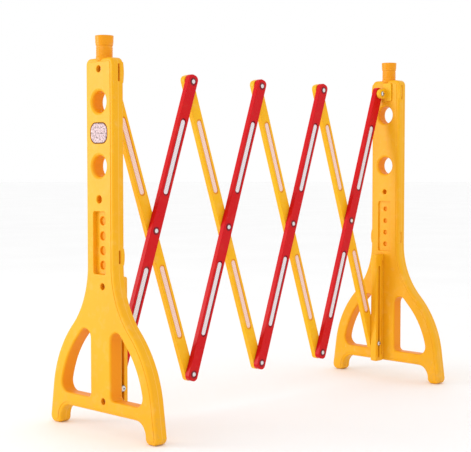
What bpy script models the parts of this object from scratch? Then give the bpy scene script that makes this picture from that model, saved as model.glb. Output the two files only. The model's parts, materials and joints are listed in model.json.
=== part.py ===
"""Expanding crowd control barrier: two A-frame end posts joined by a scissor lattice of slats.

X runs along the barrier, Y across it with -Y towards the front, Z up. The origin is on the floor,
midway between the posts. All sizes are in metres.
"""

import math

import bmesh
import bpy
from mathutils import Matrix, Vector

# Lattice
CELLS = 4
PIVOT_SPAN = 0.803
REST_ANGLE = math.radians(18.6)
TOP_PIVOT_Z = 0.865
SLAT_WIDTH = 0.032
SLAT_THICKNESS = 0.015
SLAT_END = 0.018
SLAT_CORNER = 0.009
SLAT_EDGE_BEVEL = 0.0015
LAYER_GAP = 0.0008
RED_FRONT_Y = 0.006
POCKET_START = 0.0935  # from the middle pivot
POCKET_LENGTH = 0.207
POCKET_WIDTH = 0.018
POCKET_DEPTH = 0.0016
TAPE_LENGTH = 0.199
TAPE_WIDTH = 0.0125
TAPE_THICKNESS = 0.0008

# Posts
POST_THICKNESS = 0.038
PIN_OFFSET = 0.040
COLUMN_HALF_WIDTH = 0.0515
COLUMN_FOOT_Z = 0.408
SHOULDER_Z = 0.906
SHOULDER_RADIUS = 0.016
POST_EDGE_RADIUS = 0.008
LEG_OUT_RADIUS = 0.217
LEG_IN_RADIUS = 0.280
LEG_SPLAY = math.radians(45.0)
FOOT_LEAN = math.radians(8.0)
FOOT_INNER_Y = 0.163
FOOT_INNER_RADIUS = 0.014
FOOT_OUTER_RADIUS = 0.016
CROSSBAR_UNDERSIDE_Z = 0.050
CROSSBAR_FILLET = 0.035
WALL = 0.037
OPENING_BOTTOM_Z = 0.083
OPENING_TOP_RADIUS = 0.021
OPENING_OUTER_RADIUS = 0.024
OPENING_INNER_RADIUS = 0.012
MULLION_HALF_WIDTH = 0.039

# Holes and recesses in the posts
BIG_HOLE_Z = (0.8016, 0.6477)
BIG_HOLE_RADIUS = 0.0255
BIG_HOLE_FILLET = 0.007
SMALL_HOLE_RADIUS = 0.0075
SMALL_HOLE_DEPTH = 0.012
SMALL_HOLE_Z = 0.568
RECESS_Z = (0.387, 0.539)
RECESS_HALF_WIDTH = 0.0235
RECESS_CORNER = 0.006
OUTER_RECESS_DEPTH = 0.011
INNER_RECESS_DEPTH = 0.005
RECESS_HOLE_Z = (0.516, 0.4795, 0.444, 0.4086)
OUTER_RECESS_HOLE_RADIUS = 0.009
INNER_RECESS_HOLE_RADIUS = 0.006
RECESS_HOLE_DEPTH = 0.005
LOOP_Z = ((0.845, 0.895), (0.410, 0.450))
LOOP_HEIGHT_OUT = 0.0045
LOOP_X = (0.0045, 0.0165)
LOOP_SLOT_X = (-0.0005, 0.0040)
LOOP_SLOT_DEPTH = 0.009
REFLECTOR_Z = 0.727
REFLECTOR_SIZE = (0.064, 0.050)
REFLECTOR_CORNER = 0.020
REFLECTOR_THICKNESS = 0.0022
REFLECTOR_SEAT_DEPTH = 0.0030
LOOP_CORNER = 0.004

# Neck and cap
NECK_RADIUS = 0.0188
NECK_ROOT = 0.020
NECK_STEPS = 20
THREAD_RADIUS = 0.0176
NECK_SHOULDER_Z = 0.9285
NECK_TOP_Z = 0.950
CAP_RADIUS = 0.0223
CAP_LIP_RADIUS = 0.0203
CAP_BORE_RADIUS = 0.0184
CAP_Z = (0.929, 0.960)
CAP_TAPER = 0.006
CAP_ROOF = 0.007
CAP_TOP_RADIUS = 0.004

# Slide rails, brackets and fasteners
RAIL_Z = (0.050, 0.378)
RAIL_DEPTH = 0.0365
LEFT_RAIL_Y = (-0.0155, 0.0054)
RIGHT_RAIL_Y = (0.0005, 0.0213)
RAIL_EDGE = 0.0025
RAIL_CORNER = 0.006
FOLDED_ANGLE = math.radians(4.0)
OPEN_ANGLE = math.radians(49.0)
LUG_RADIUS = 0.014
LUG_FLANGE_Z = (0.843, 0.897)
LUG_FLANGE_THICKNESS = 0.005
LUG_FLANGE_CORNER = 0.005
LUG_BOSS_RADIUS = 0.0105
LUG_BOSS_HEIGHT = 0.002
LEFT_LUG_Y = (0.0062, 0.0212)
LEFT_FLANGE_Y = (-0.0160, 0.0212)
RIGHT_LUG_Y = (-0.0060, 0.0055)
RIGHT_FLANGE_Y = (-0.0260, 0.0055)
PIN_RADIUS = 0.0030
PIN_HOLE_RADIUS = 0.0036
PIN_HEAD_RADIUS = 0.0068
PIN_HEAD_HEIGHT = 0.0032
PIN_TAIL = 0.0015
NUT_RADIUS = 0.0062
NUT_HEIGHT = 0.0048
RIVET_HEAD_RADIUS = 0.0075
RIVET_HEAD_HEIGHT = 0.0024
SCREW_RADIUS = 0.0025
SCREW_HOLE_RADIUS = 0.0030
SCREW_HEAD_RADIUS = 0.0050
SCREW_HEAD_HEIGHT = 0.0040
SCREW_CHAMFER = 0.0010
SCREW_SINK_RADIUS = 0.0060
SCREW_SINK_DEPTH = 0.012
SCREW_BITE = 0.012
RAIL_SCREW_Z = (0.358, 0.079)
BRACKET_SCREW_Z = 0.880
BRACKET_SCREW_BITE = 0.0042
LEFT_RAIL_SCREW_Y = -0.0105
RIGHT_RAIL_SCREW_Y = 0.0109
LEFT_BRACKET_SCREW_Y = 0.0
RIGHT_BRACKET_SCREW_Y = -0.0105

# Fineness of the round shapes
GAP = 0.0003
CORNER_STEPS = 3
ARC_STEPS = 7
HOLE_STEPS = 12
BIG_HOLE_STEPS = 24
TURN_STEPS = 12
CUT_PAST = 0.003
MERGE_DISTANCE = 1e-6
SHARP_ANGLE = math.radians(35.0)

# Places worked out from the driving dimensions
CELL_WIDTH = PIVOT_SPAN * math.sin(REST_ANGLE)
CELL_HEIGHT = PIVOT_SPAN * math.cos(REST_ANGLE)
LEFT_PIN_X = -0.5 * CELLS * CELL_WIDTH
RIGHT_PIN_X = -LEFT_PIN_X
BOTTOM_PIVOT_Z = TOP_PIVOT_Z - CELL_HEIGHT
MIDDLE_PIVOT_Z = TOP_PIVOT_Z - 0.5 * CELL_HEIGHT
HALF_POST = 0.5 * POST_THICKNESS
RED_Y = (RED_FRONT_Y, RED_FRONT_Y + SLAT_THICKNESS)
YELLOW_Y = (RED_Y[1] + LAYER_GAP, RED_Y[1] + LAYER_GAP + SLAT_THICKNESS)
RAIL_PIN_Z = (
    TOP_PIVOT_Z - PIVOT_SPAN * math.cos(FOLDED_ANGLE),
    TOP_PIVOT_Z - PIVOT_SPAN * math.cos(OPEN_ANGLE),
)

FINISHES = {
    "post_yellow": ((0.93, 0.52, 0.06), 0.42, 0.0),
    "cap_orange": ((0.94, 0.33, 0.02), 0.40, 0.0),
    "slat_red": ((0.68, 0.012, 0.012), 0.38, 0.0),
    "slat_yellow": ((0.95, 0.50, 0.03), 0.38, 0.0),
    "reflective_tape": ((0.82, 0.78, 0.79), 0.30, 0.0),
    "steel": ((0.62, 0.62, 0.64), 0.30, 1.0),
}


def clear_scene():
    for item in list(bpy.data.objects):
        bpy.data.objects.remove(item, do_unlink=True)


def finish_material(name):
    color, roughness, metallic = FINISHES[name]
    material = bpy.data.materials.get(name) or bpy.data.materials.new(name)
    material.use_nodes = True
    material.diffuse_color = (*color, 1.0)
    shader = material.node_tree.nodes["Principled BSDF"]
    shader.inputs["Base Color"].default_value = (*color, 1.0)
    shader.inputs["Roughness"].default_value = roughness
    shader.inputs["Metallic"].default_value = metallic
    return material


def add_object(name, bm, finish=None, parent=None, location=(0.0, 0.0, 0.0), turn=0.0):
    """Make an object from a bmesh; turn is its rotation about Y."""
    bmesh.ops.recalc_face_normals(bm, faces=bm.faces)
    mesh = bpy.data.meshes.new(name)
    bm.to_mesh(mesh)
    bm.free()
    mesh.shade_smooth()
    mesh.set_sharp_from_angle(angle=SHARP_ANGLE)
    item = bpy.data.objects.new(name, mesh)
    if finish:
        mesh.materials.append(finish_material(finish))
    item.parent = parent
    item.location = location
    item.rotation_euler = (0.0, turn, 0.0)
    bpy.context.scene.collection.objects.link(item)
    return item


def add_empty(name, location):
    empty = bpy.data.objects.new(name, None)
    empty.location = location
    bpy.context.scene.collection.objects.link(empty)
    return empty


def shape_with(item, tool, operation="DIFFERENCE"):
    """Join a tool to an object, or cut it out, and keep the tool as a hidden guide."""
    tool.parent = item
    tool.hide_render = True
    tool.display_type = "WIRE"
    change = item.modifiers.new(tool.name, "BOOLEAN")
    change.operation = operation
    change.object = tool


def arc(center, radius, start, end, steps):
    """Points on an arc from one angle to another, in degrees, both ends included."""
    angles = [math.radians(start + (end - start) * i / steps) for i in range(steps + 1)]
    return [(center[0] + radius * math.cos(a), center[1] + radius * math.sin(a)) for a in angles]


def rounded_rectangle(low, high, radius, steps=CORNER_STEPS):
    corners = (
        ((high[0] - radius, high[1] - radius), 0.0),
        ((low[0] + radius, high[1] - radius), 90.0),
        ((low[0] + radius, low[1] + radius), 180.0),
        ((high[0] - radius, low[1] + radius), 270.0),
    )
    points = []
    for center, start in corners:
        points += arc(center, radius, start, start + 90.0, steps)
    return points


def stadium(low, high, steps=4):
    """A slot outline with round ends, long in its second coordinate."""
    radius = 0.5 * (high[0] - low[0])
    middle = 0.5 * (high[0] + low[0])
    top = arc((middle, high[1] - radius), radius, 0.0, 180.0, steps)
    return top + arc((middle, low[1] + radius), radius, 180.0, 360.0, steps)


def add_prism(bm, outline, axis, low, high, edge=0.0, segments=2):
    """Extrude an outline along X or Y, with its rims rounded by edge."""
    if axis == "X":
        corners = [bm.verts.new((low, u, v)) for u, v in outline]
        travel = Vector((high - low, 0.0, 0.0))
    else:
        corners = [bm.verts.new((u, low, v)) for u, v in outline]
        travel = Vector((0.0, high - low, 0.0))
    face = bm.faces.new(corners)
    first_rim = list(face.edges)
    extruded = bmesh.ops.extrude_face_region(bm, geom=[face], use_keep_orig=True)["geom"]
    moved = [part for part in extruded if isinstance(part, bmesh.types.BMVert)]
    bmesh.ops.translate(bm, verts=moved, vec=travel)
    if edge:
        top = next(part for part in extruded if isinstance(part, bmesh.types.BMFace))
        rims = first_rim + list(top.edges)
        bmesh.ops.recalc_face_normals(bm, faces=bm.faces)
        bmesh.ops.bevel(
            bm, geom=rims, offset=edge, segments=segments, profile=0.5, affect="EDGES", material=-1
        )


def add_turned(bm, profile, axis, center, steps=TURN_STEPS):
    """Turn a profile of (radius, height) points that starts and ends on the axis."""
    there = set(bm.verts)
    corners = [bm.verts.new((radius, 0.0, height)) for radius, height in profile]
    edges = [bm.edges.new(pair) for pair in zip(corners, corners[1:])]
    bmesh.ops.spin(
        bm, geom=corners + edges, cent=(0.0, 0.0, 0.0), axis=(0.0, 0.0, 1.0),
        angle=2.0 * math.pi, steps=steps, use_merge=True,
    )
    turned = [vertex for vertex in bm.verts if vertex not in there]
    turn = {
        "X": Matrix.Rotation(math.radians(90.0), 4, "Y"),
        "Y": Matrix.Rotation(math.radians(-90.0), 4, "X"),
        "Z": Matrix.Identity(4),
    }[axis]
    bmesh.ops.transform(bm, matrix=Matrix.Translation(center) @ turn, verts=turned)
    bmesh.ops.remove_doubles(bm, verts=turned, dist=MERGE_DISTANCE)


def add_rod(bm, axis, center, radius, low, high, steps=HOLE_STEPS):
    add_turned(bm, ((0.0, low), (radius, low), (radius, high), (0.0, high)), axis, center, steps)


# ---- posts ------------------------------------------------------------------------------------

LEG_OUT_CENTER = (COLUMN_HALF_WIDTH + LEG_OUT_RADIUS, COLUMN_FOOT_Z)
LEG_TURN_POINT = (
    LEG_OUT_CENTER[0] - LEG_OUT_RADIUS * math.cos(LEG_SPLAY),
    LEG_OUT_CENTER[1] - LEG_OUT_RADIUS * math.sin(LEG_SPLAY),
)
LEG_IN_CENTER = (
    LEG_TURN_POINT[0] - LEG_IN_RADIUS * math.cos(LEG_SPLAY),
    LEG_TURN_POINT[1] - LEG_IN_RADIUS * math.sin(LEG_SPLAY),
)


def foot_outer_center():
    """Centre of the round between the leaning outer side of the foot and the floor."""
    normal = (math.cos(FOOT_LEAN), math.sin(FOOT_LEAN))
    reach = normal[0] * LEG_IN_CENTER[0] + normal[1] * LEG_IN_CENTER[1] + LEG_IN_RADIUS
    y = (reach - FOOT_OUTER_RADIUS - normal[1] * FOOT_OUTER_RADIUS) / normal[0]
    return (y, FOOT_OUTER_RADIUS)


def post_outline():
    """The A-frame's outline in Y and Z, half of it drawn and the rest mirrored."""
    splay = math.degrees(LEG_SPLAY)
    lean = math.degrees(FOOT_LEAN)
    fillet = (FOOT_INNER_Y - CROSSBAR_FILLET, CROSSBAR_UNDERSIDE_Z - CROSSBAR_FILLET)
    inner_foot = (FOOT_INNER_Y + FOOT_INNER_RADIUS, FOOT_INNER_RADIUS)
    shoulder = (COLUMN_HALF_WIDTH - SHOULDER_RADIUS, SHOULDER_Z - SHOULDER_RADIUS)
    half = arc(fillet, CROSSBAR_FILLET, 90.0, 0.0, 5)
    half += arc(inner_foot, FOOT_INNER_RADIUS, 180.0, 270.0, CORNER_STEPS)
    half += arc(foot_outer_center(), FOOT_OUTER_RADIUS, -90.0, lean, CORNER_STEPS + 1)
    half += arc(LEG_IN_CENTER, LEG_IN_RADIUS, lean, splay, ARC_STEPS)
    half += arc(LEG_OUT_CENTER, LEG_OUT_RADIUS, 180.0 + splay, 180.0, ARC_STEPS)[1:]
    half += arc(shoulder, SHOULDER_RADIUS, 0.0, 90.0, CORNER_STEPS + 1)
    return half + [(-y, z) for y, z in reversed(half)]


def leg_opening():
    """The opening between leg and mullion: the leg's own curve moved in by the wall."""
    outer_radius = LEG_IN_RADIUS - WALL
    bottom_z = OPENING_BOTTOM_Z + OPENING_OUTER_RADIUS
    rise = bottom_z - LEG_IN_CENTER[1]
    reach = outer_radius - OPENING_OUTER_RADIUS
    bottom_outer = (LEG_IN_CENTER[0] + math.sqrt(reach**2 - rise**2), bottom_z)
    start = math.degrees(math.atan2(rise, bottom_outer[0] - LEG_IN_CENTER[0]))

    top_y = MULLION_HALF_WIDTH + OPENING_TOP_RADIUS
    across = LEG_OUT_CENTER[0] - top_y
    drop = math.sqrt((LEG_OUT_RADIUS + WALL + OPENING_TOP_RADIUS) ** 2 - across**2)
    top = (top_y, LEG_OUT_CENTER[1] - drop)
    end = math.degrees(math.atan2(drop, across))

    splay = math.degrees(LEG_SPLAY)
    bottom_inner = (MULLION_HALF_WIDTH + OPENING_INNER_RADIUS, OPENING_BOTTOM_Z + OPENING_INNER_RADIUS)
    points = arc(bottom_inner, OPENING_INNER_RADIUS, 180.0, 270.0, CORNER_STEPS)
    points += arc(bottom_outer, OPENING_OUTER_RADIUS, -90.0, start, CORNER_STEPS + 2)
    points += arc(LEG_IN_CENTER, outer_radius, start, splay, 4)[1:]
    points += arc(LEG_OUT_CENTER, LEG_OUT_RADIUS + WALL, 180.0 + splay, 180.0 + end, 2)[1:]
    points += arc(top, OPENING_TOP_RADIUS, end, 180.0, CORNER_STEPS + 2)[1:]
    return points


def add_big_hole(bm, z):
    """A through hole whose two mouths flare with a soft round."""
    rim = BIG_HOLE_RADIUS + BIG_HOLE_FILLET
    deep = HALF_POST - BIG_HOLE_FILLET
    flare = [(rim - r, deep + h) for r, h in arc((0.0, 0.0), BIG_HOLE_FILLET, 0.0, 90.0, 3)]
    front = [(r, -h) for r, h in reversed(flare)]
    ends = HALF_POST + CUT_PAST
    profile = [(0.0, -ends), (rim, -ends), *front, *flare, (rim, ends), (0.0, ends)]
    add_turned(bm, profile, "X", (0.0, 0.0, z), BIG_HOLE_STEPS)


def post_body(name, finish, inner, parent, location, screws):
    """One blow-moulded post. inner is +1 where the lattice side faces +X and -1 where it faces -X."""
    bm = bmesh.new()
    add_prism(bm, post_outline(), "X", -HALF_POST, HALF_POST, POST_EDGE_RADIUS)
    post = add_object(name, bm, finish, parent, location)

    added = bmesh.new()
    neck = [
        (0.0, SHOULDER_Z - NECK_ROOT),
        (NECK_RADIUS, SHOULDER_Z - NECK_ROOT),
        (NECK_RADIUS, NECK_SHOULDER_Z),
        (THREAD_RADIUS, NECK_SHOULDER_Z),
        (THREAD_RADIUS, NECK_TOP_Z),
        (0.0, NECK_TOP_Z),
    ]
    add_turned(added, neck, "Z", (0.0, 0.0, 0.0), NECK_STEPS)
    shape_with(post, add_object(f"{name}_neck_shape", added), "UNION")

    loops = bmesh.new()
    bar_x = sorted(inner * x for x in LOOP_X)
    for low, high in LOOP_Z:
        for side in (-1, 1):
            outer = side * (COLUMN_HALF_WIDTH + LOOP_HEIGHT_OUT)
            root = side * (COLUMN_HALF_WIDTH - LOOP_SLOT_DEPTH)
            bar = rounded_rectangle((bar_x[0], low), (bar_x[1], high), LOOP_CORNER, 2)
            add_prism(loops, bar, "Y", min(outer, root), max(outer, root))
    shape_with(post, add_object(f"{name}_loop_shape", loops), "UNION")

    pockets = bmesh.new()
    for side in (-1, 1):
        outline = [(side * y, z) for y, z in leg_opening()]
        add_prism(pockets, outline, "X", -HALF_POST - CUT_PAST, HALF_POST + CUT_PAST)
    for z in BIG_HOLE_Z:
        add_big_hole(pockets, z)
    recess = rounded_rectangle(
        (-RECESS_HALF_WIDTH, RECESS_Z[0]), (RECESS_HALF_WIDTH, RECESS_Z[1]), RECESS_CORNER
    )
    past = HALF_POST + CUT_PAST
    for face, depth in ((-inner, OUTER_RECESS_DEPTH), (inner, INNER_RECESS_DEPTH)):
        ends = sorted((face * past, face * (HALF_POST - depth)))
        add_prism(pockets, recess, "X", *ends)
    half_seat = (0.5 * REFLECTOR_SIZE[0] + GAP, 0.5 * REFLECTOR_SIZE[1] + GAP)
    seat = rounded_rectangle(
        (-half_seat[0], REFLECTOR_Z - half_seat[1]),
        (half_seat[0], REFLECTOR_Z + half_seat[1]),
        REFLECTOR_CORNER + GAP,
    )
    seat_ends = sorted((-inner * past, -inner * (HALF_POST - REFLECTOR_SEAT_DEPTH)))
    add_prism(pockets, seat, "X", *seat_ends)
    slot_x = sorted(inner * x for x in LOOP_SLOT_X)
    for low, high in LOOP_Z:
        for side in (-1, 1):
            outer = side * (COLUMN_HALF_WIDTH + LOOP_HEIGHT_OUT + CUT_PAST)
            root = side * (COLUMN_HALF_WIDTH - LOOP_SLOT_DEPTH)
            slot = stadium((slot_x[0], low + LOOP_CORNER), (slot_x[1], high - LOOP_CORNER), 2)
            add_prism(pockets, slot, "Y", min(outer, root), max(outer, root))
    shape_with(post, add_object(f"{name}_pockets", pockets))

    bores = bmesh.new()
    for z in RECESS_HOLE_Z:
        for face, depth, radius in (
            (-inner, OUTER_RECESS_DEPTH, OUTER_RECESS_HOLE_RADIUS),
            (inner, INNER_RECESS_DEPTH, INNER_RECESS_HOLE_RADIUS),
        ):
            floor = HALF_POST - depth
            ends = sorted((face * (floor + CUT_PAST), face * (floor - RECESS_HOLE_DEPTH)))
            add_rod(bores, "X", (0.0, 0.0, z), radius, *ends)
    for face in (-1, 1):
        ends = sorted((face * past, face * (HALF_POST - SMALL_HOLE_DEPTH)))
        add_rod(bores, "X", (0.0, 0.0, SMALL_HOLE_Z), SMALL_HOLE_RADIUS, *ends)
    for y, z, _bite in screws.values():
        add_screw_hole(bores, inner, y, z)
    shape_with(post, add_object(f"{name}_bores", bores))
    return post


def add_screw_hole(bm, inner, y, z):
    """A sunk hole from the outer face with a narrower hole through to the inner face."""
    floor = SCREW_SINK_DEPTH - HALF_POST
    profile = [
        (0.0, -HALF_POST - CUT_PAST),
        (SCREW_SINK_RADIUS, -HALF_POST - CUT_PAST),
        (SCREW_SINK_RADIUS, floor),
        (SCREW_HOLE_RADIUS, floor),
        (SCREW_HOLE_RADIUS, HALF_POST + CUT_PAST),
        (0.0, HALF_POST + CUT_PAST),
    ]
    add_turned(bm, [(r, inner * h) for r, h in profile], "X", (0.0, y, z))


def screw(name, inner, y, z, bite, parent, location):
    """A pan-head screw in its sunk hole, reaching past the inner face by its bite."""
    seat = SCREW_SINK_DEPTH - HALF_POST - GAP
    crown = seat - SCREW_HEAD_HEIGHT
    tip = HALF_POST + bite
    profile = [
        (0.0, crown),
        (0.7 * SCREW_HEAD_RADIUS, crown),
        (SCREW_HEAD_RADIUS, crown + SCREW_CHAMFER),
        (SCREW_HEAD_RADIUS, seat),
        (SCREW_RADIUS, seat),
        (SCREW_RADIUS, tip - SCREW_CHAMFER),
        (SCREW_RADIUS - SCREW_CHAMFER, tip),
        (0.0, tip),
    ]
    bm = bmesh.new()
    add_turned(bm, [(r, inner * h) for r, h in profile], "X", (0.0, y, z))
    return add_object(name, bm, "steel", parent, location)


def reflector(name, inner, parent, location):
    half = (0.5 * REFLECTOR_SIZE[0], 0.5 * REFLECTOR_SIZE[1])
    outline = rounded_rectangle(
        (-half[0], REFLECTOR_Z - half[1]), (half[0], REFLECTOR_Z + half[1]), REFLECTOR_CORNER
    )
    back = HALF_POST - REFLECTOR_SEAT_DEPTH + GAP
    ends = sorted((-inner * back, -inner * (back + REFLECTOR_THICKNESS)))
    bm = bmesh.new()
    add_prism(bm, outline, "X", *ends)
    return add_object(name, bm, "reflective_tape", parent, location)


def cap(name, parent, location):
    """A hollow screw cap over the threaded top of the neck."""
    bottom, top = CAP_Z
    roof = top - CAP_ROOF
    rounding = arc((CAP_RADIUS - CAP_TOP_RADIUS, top - CAP_TOP_RADIUS), CAP_TOP_RADIUS, 0.0, 90.0, 3)
    profile = [
        (0.0, roof),
        (CAP_BORE_RADIUS, roof),
        (CAP_BORE_RADIUS, bottom),
        (CAP_LIP_RADIUS, bottom),
        (CAP_RADIUS, bottom + CAP_TAPER),
        *rounding,
        (0.0, top),
    ]
    bm = bmesh.new()
    add_turned(bm, profile, "Z", (0.0, 0.0, 0.0), 24)
    return add_object(name, bm, "cap_orange", parent, location)


def slide_rail(name, inner, y_range, screw_y, parent, location):
    """The slotted rail the lowest slat end slides in, screwed to the post's inner face."""
    near = HALF_POST + GAP
    far = HALF_POST + RAIL_DEPTH
    x_range = sorted((inner * near, inner * far))
    outline = rounded_rectangle((x_range[0], RAIL_Z[0]), (x_range[1], RAIL_Z[1]), RAIL_CORNER)
    bm = bmesh.new()
    add_prism(bm, outline, "Y", *y_range, edge=RAIL_EDGE, segments=1)
    rail = add_object(name, bm, "post_yellow", parent, location)
    tools = bmesh.new()
    pin_x = inner * PIN_OFFSET
    slot = stadium(
        (pin_x - PIN_HOLE_RADIUS, RAIL_PIN_Z[0] - PIN_HOLE_RADIUS - GAP),
        (pin_x + PIN_HOLE_RADIUS, RAIL_PIN_Z[1] + PIN_HOLE_RADIUS + GAP),
        6,
    )
    add_prism(tools, slot, "Y", y_range[0] - CUT_PAST, y_range[1] + CUT_PAST)
    for z in RAIL_SCREW_Z:
        ends = sorted((inner * (near - CUT_PAST), inner * (HALF_POST + SCREW_BITE + SCREW_CHAMFER)))
        add_rod(tools, "X", (0.0, screw_y, z), SCREW_HOLE_RADIUS, *ends)
    shape_with(rail, add_object(f"{name}_cuts", tools))
    return rail


def top_bracket(name, inner, lug_y, flange_y, screw_y, parent, location):
    """A flanged lug that carries the top pin of the lattice."""
    near = HALF_POST + GAP
    center = (inner * PIN_OFFSET, TOP_PIVOT_Z)
    start = -90.0 if inner > 0 else 90.0
    outline = arc(center, LUG_RADIUS, start, start + 180.0, 8)
    outline += [(inner * near, outline[-1][1]), (inner * near, outline[0][1])]
    bm = bmesh.new()
    add_prism(bm, outline, "Y", *lug_y)
    bracket = add_object(name, bm, "post_yellow", parent, location)

    flange = bmesh.new()
    z_range = LUG_FLANGE_Z
    plate = rounded_rectangle((flange_y[0], z_range[0]), (flange_y[1], z_range[1]), LUG_FLANGE_CORNER)
    add_prism(flange, plate, "X", *sorted((inner * near, inner * (near + LUG_FLANGE_THICKNESS))))
    shape_with(bracket, add_object(f"{name}_flange", flange), "UNION")

    boss = bmesh.new()
    add_rod(boss, "Y", (center[0], 0.0, center[1]), LUG_BOSS_RADIUS,
            lug_y[0] - LUG_BOSS_HEIGHT, lug_y[0] + LUG_BOSS_HEIGHT, 16)
    shape_with(bracket, add_object(f"{name}_boss", boss), "UNION")

    holes = bmesh.new()
    add_rod(holes, "Y", (center[0], 0.0, center[1]), PIN_HOLE_RADIUS,
            lug_y[0] - LUG_BOSS_HEIGHT - CUT_PAST, lug_y[1] + CUT_PAST)
    ends = sorted((inner * (near - CUT_PAST), inner * (near + LUG_FLANGE_THICKNESS + CUT_PAST)))
    add_rod(holes, "X", (0.0, screw_y, BRACKET_SCREW_Z), SCREW_HOLE_RADIUS, *ends)
    shape_with(bracket, add_object(f"{name}_holes", holes))
    return bracket


# ---- lattice ----------------------------------------------------------------------------------


def slat(name, finish, y_range, pivot_z, parent):
    """A slat along local Z with three pivot holes and two tape pockets in its front face.

    pivot_z is the local height of the middle pivot, so that the origin lies on the slat's hinge.
    """
    half_width = 0.5 * SLAT_WIDTH
    half_length = 0.5 * PIVOT_SPAN + SLAT_END
    outline = rounded_rectangle(
        (-half_width, pivot_z - half_length), (half_width, pivot_z + half_length), SLAT_CORNER
    )
    bm = bmesh.new()
    add_prism(bm, outline, "Y", *y_range, edge=SLAT_EDGE_BEVEL, segments=1)
    item = add_object(name, bm, finish, parent)
    tools = bmesh.new()
    for side in (-1, 0, 1):
        center = (0.0, 0.0, pivot_z + side * 0.5 * PIVOT_SPAN)
        add_rod(tools, "Y", center, PIN_HOLE_RADIUS, y_range[0] - CUT_PAST, y_range[1] + CUT_PAST)
    for side in (-1, 1):
        ends = sorted(pivot_z + side * (POCKET_START + d) for d in (0.0, POCKET_LENGTH))
        pocket = stadium((-0.5 * POCKET_WIDTH, ends[0]), (0.5 * POCKET_WIDTH, ends[1]))
        add_prism(tools, pocket, "Y", y_range[0] - CUT_PAST, y_range[0] + POCKET_DEPTH)
    shape_with(item, add_object(f"{name}_cuts", tools))
    return item


def tape(name, y_front, pivot_z, side, parent):
    """A strip of reflective tape on the floor of one pocket."""
    middle = pivot_z + side * (POCKET_START + 0.5 * POCKET_LENGTH)
    low = (-0.5 * TAPE_WIDTH, middle - 0.5 * TAPE_LENGTH)
    high = (0.5 * TAPE_WIDTH, middle + 0.5 * TAPE_LENGTH)
    back = y_front + POCKET_DEPTH - GAP
    bm = bmesh.new()
    add_prism(bm, stadium(low, high, 3), "Y", back - TAPE_THICKNESS, back)
    return add_object(name, bm, "reflective_tape", parent)


def rivet(name, pivot_local, parent):
    """A rivet through both layers, with a domed head on each side."""
    front = RED_Y[0] - GAP
    back = YELLOW_Y[1] + GAP
    rise = RIVET_HEAD_HEIGHT
    profile = [
        (0.0, front - rise),
        (0.55 * RIVET_HEAD_RADIUS, front - 0.8 * rise),
        (RIVET_HEAD_RADIUS, front - 0.25 * rise),
        (RIVET_HEAD_RADIUS, front),
        (PIN_RADIUS, front),
        (PIN_RADIUS, back),
        (RIVET_HEAD_RADIUS, back),
        (RIVET_HEAD_RADIUS, back + 0.25 * rise),
        (0.55 * RIVET_HEAD_RADIUS, back + 0.8 * rise),
        (0.0, back + rise),
    ]
    bm = bmesh.new()
    add_turned(bm, profile, "Y", (pivot_local[0], 0.0, pivot_local[1]))
    return add_object(name, bm, "steel", parent)


def headed_pin(name, front, back, at, parent):
    """A bolt with its head in front of one face and its shank reaching through a nut."""
    head = front - GAP
    end = back + GAP + NUT_HEIGHT + PIN_TAIL
    profile = [
        (0.0, head - PIN_HEAD_HEIGHT),
        (0.6 * PIN_HEAD_RADIUS, head - PIN_HEAD_HEIGHT),
        (PIN_HEAD_RADIUS, head - 0.4 * PIN_HEAD_HEIGHT),
        (PIN_HEAD_RADIUS, head),
        (PIN_RADIUS, head),
        (PIN_RADIUS, end),
        (0.0, end),
    ]
    bm = bmesh.new()
    add_turned(bm, profile, "Y", (at[0], 0.0, at[1]))
    return add_object(name, bm, "steel", parent)


def nut(name, back, at, parent):
    start = back + GAP
    outline = arc(at, NUT_RADIUS, 0.0, 300.0, 5)
    bm = bmesh.new()
    add_prism(bm, outline, "Y", start, start + NUT_HEIGHT)
    item = add_object(name, bm, "steel", parent)
    hole = bmesh.new()
    add_rod(hole, "Y", (at[0], 0.0, at[1]), PIN_RADIUS + 2.0 * GAP,
            start - CUT_PAST, start + NUT_HEIGHT + CUT_PAST)
    shape_with(item, add_object(f"{name}_hole", hole))
    return item


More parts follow.
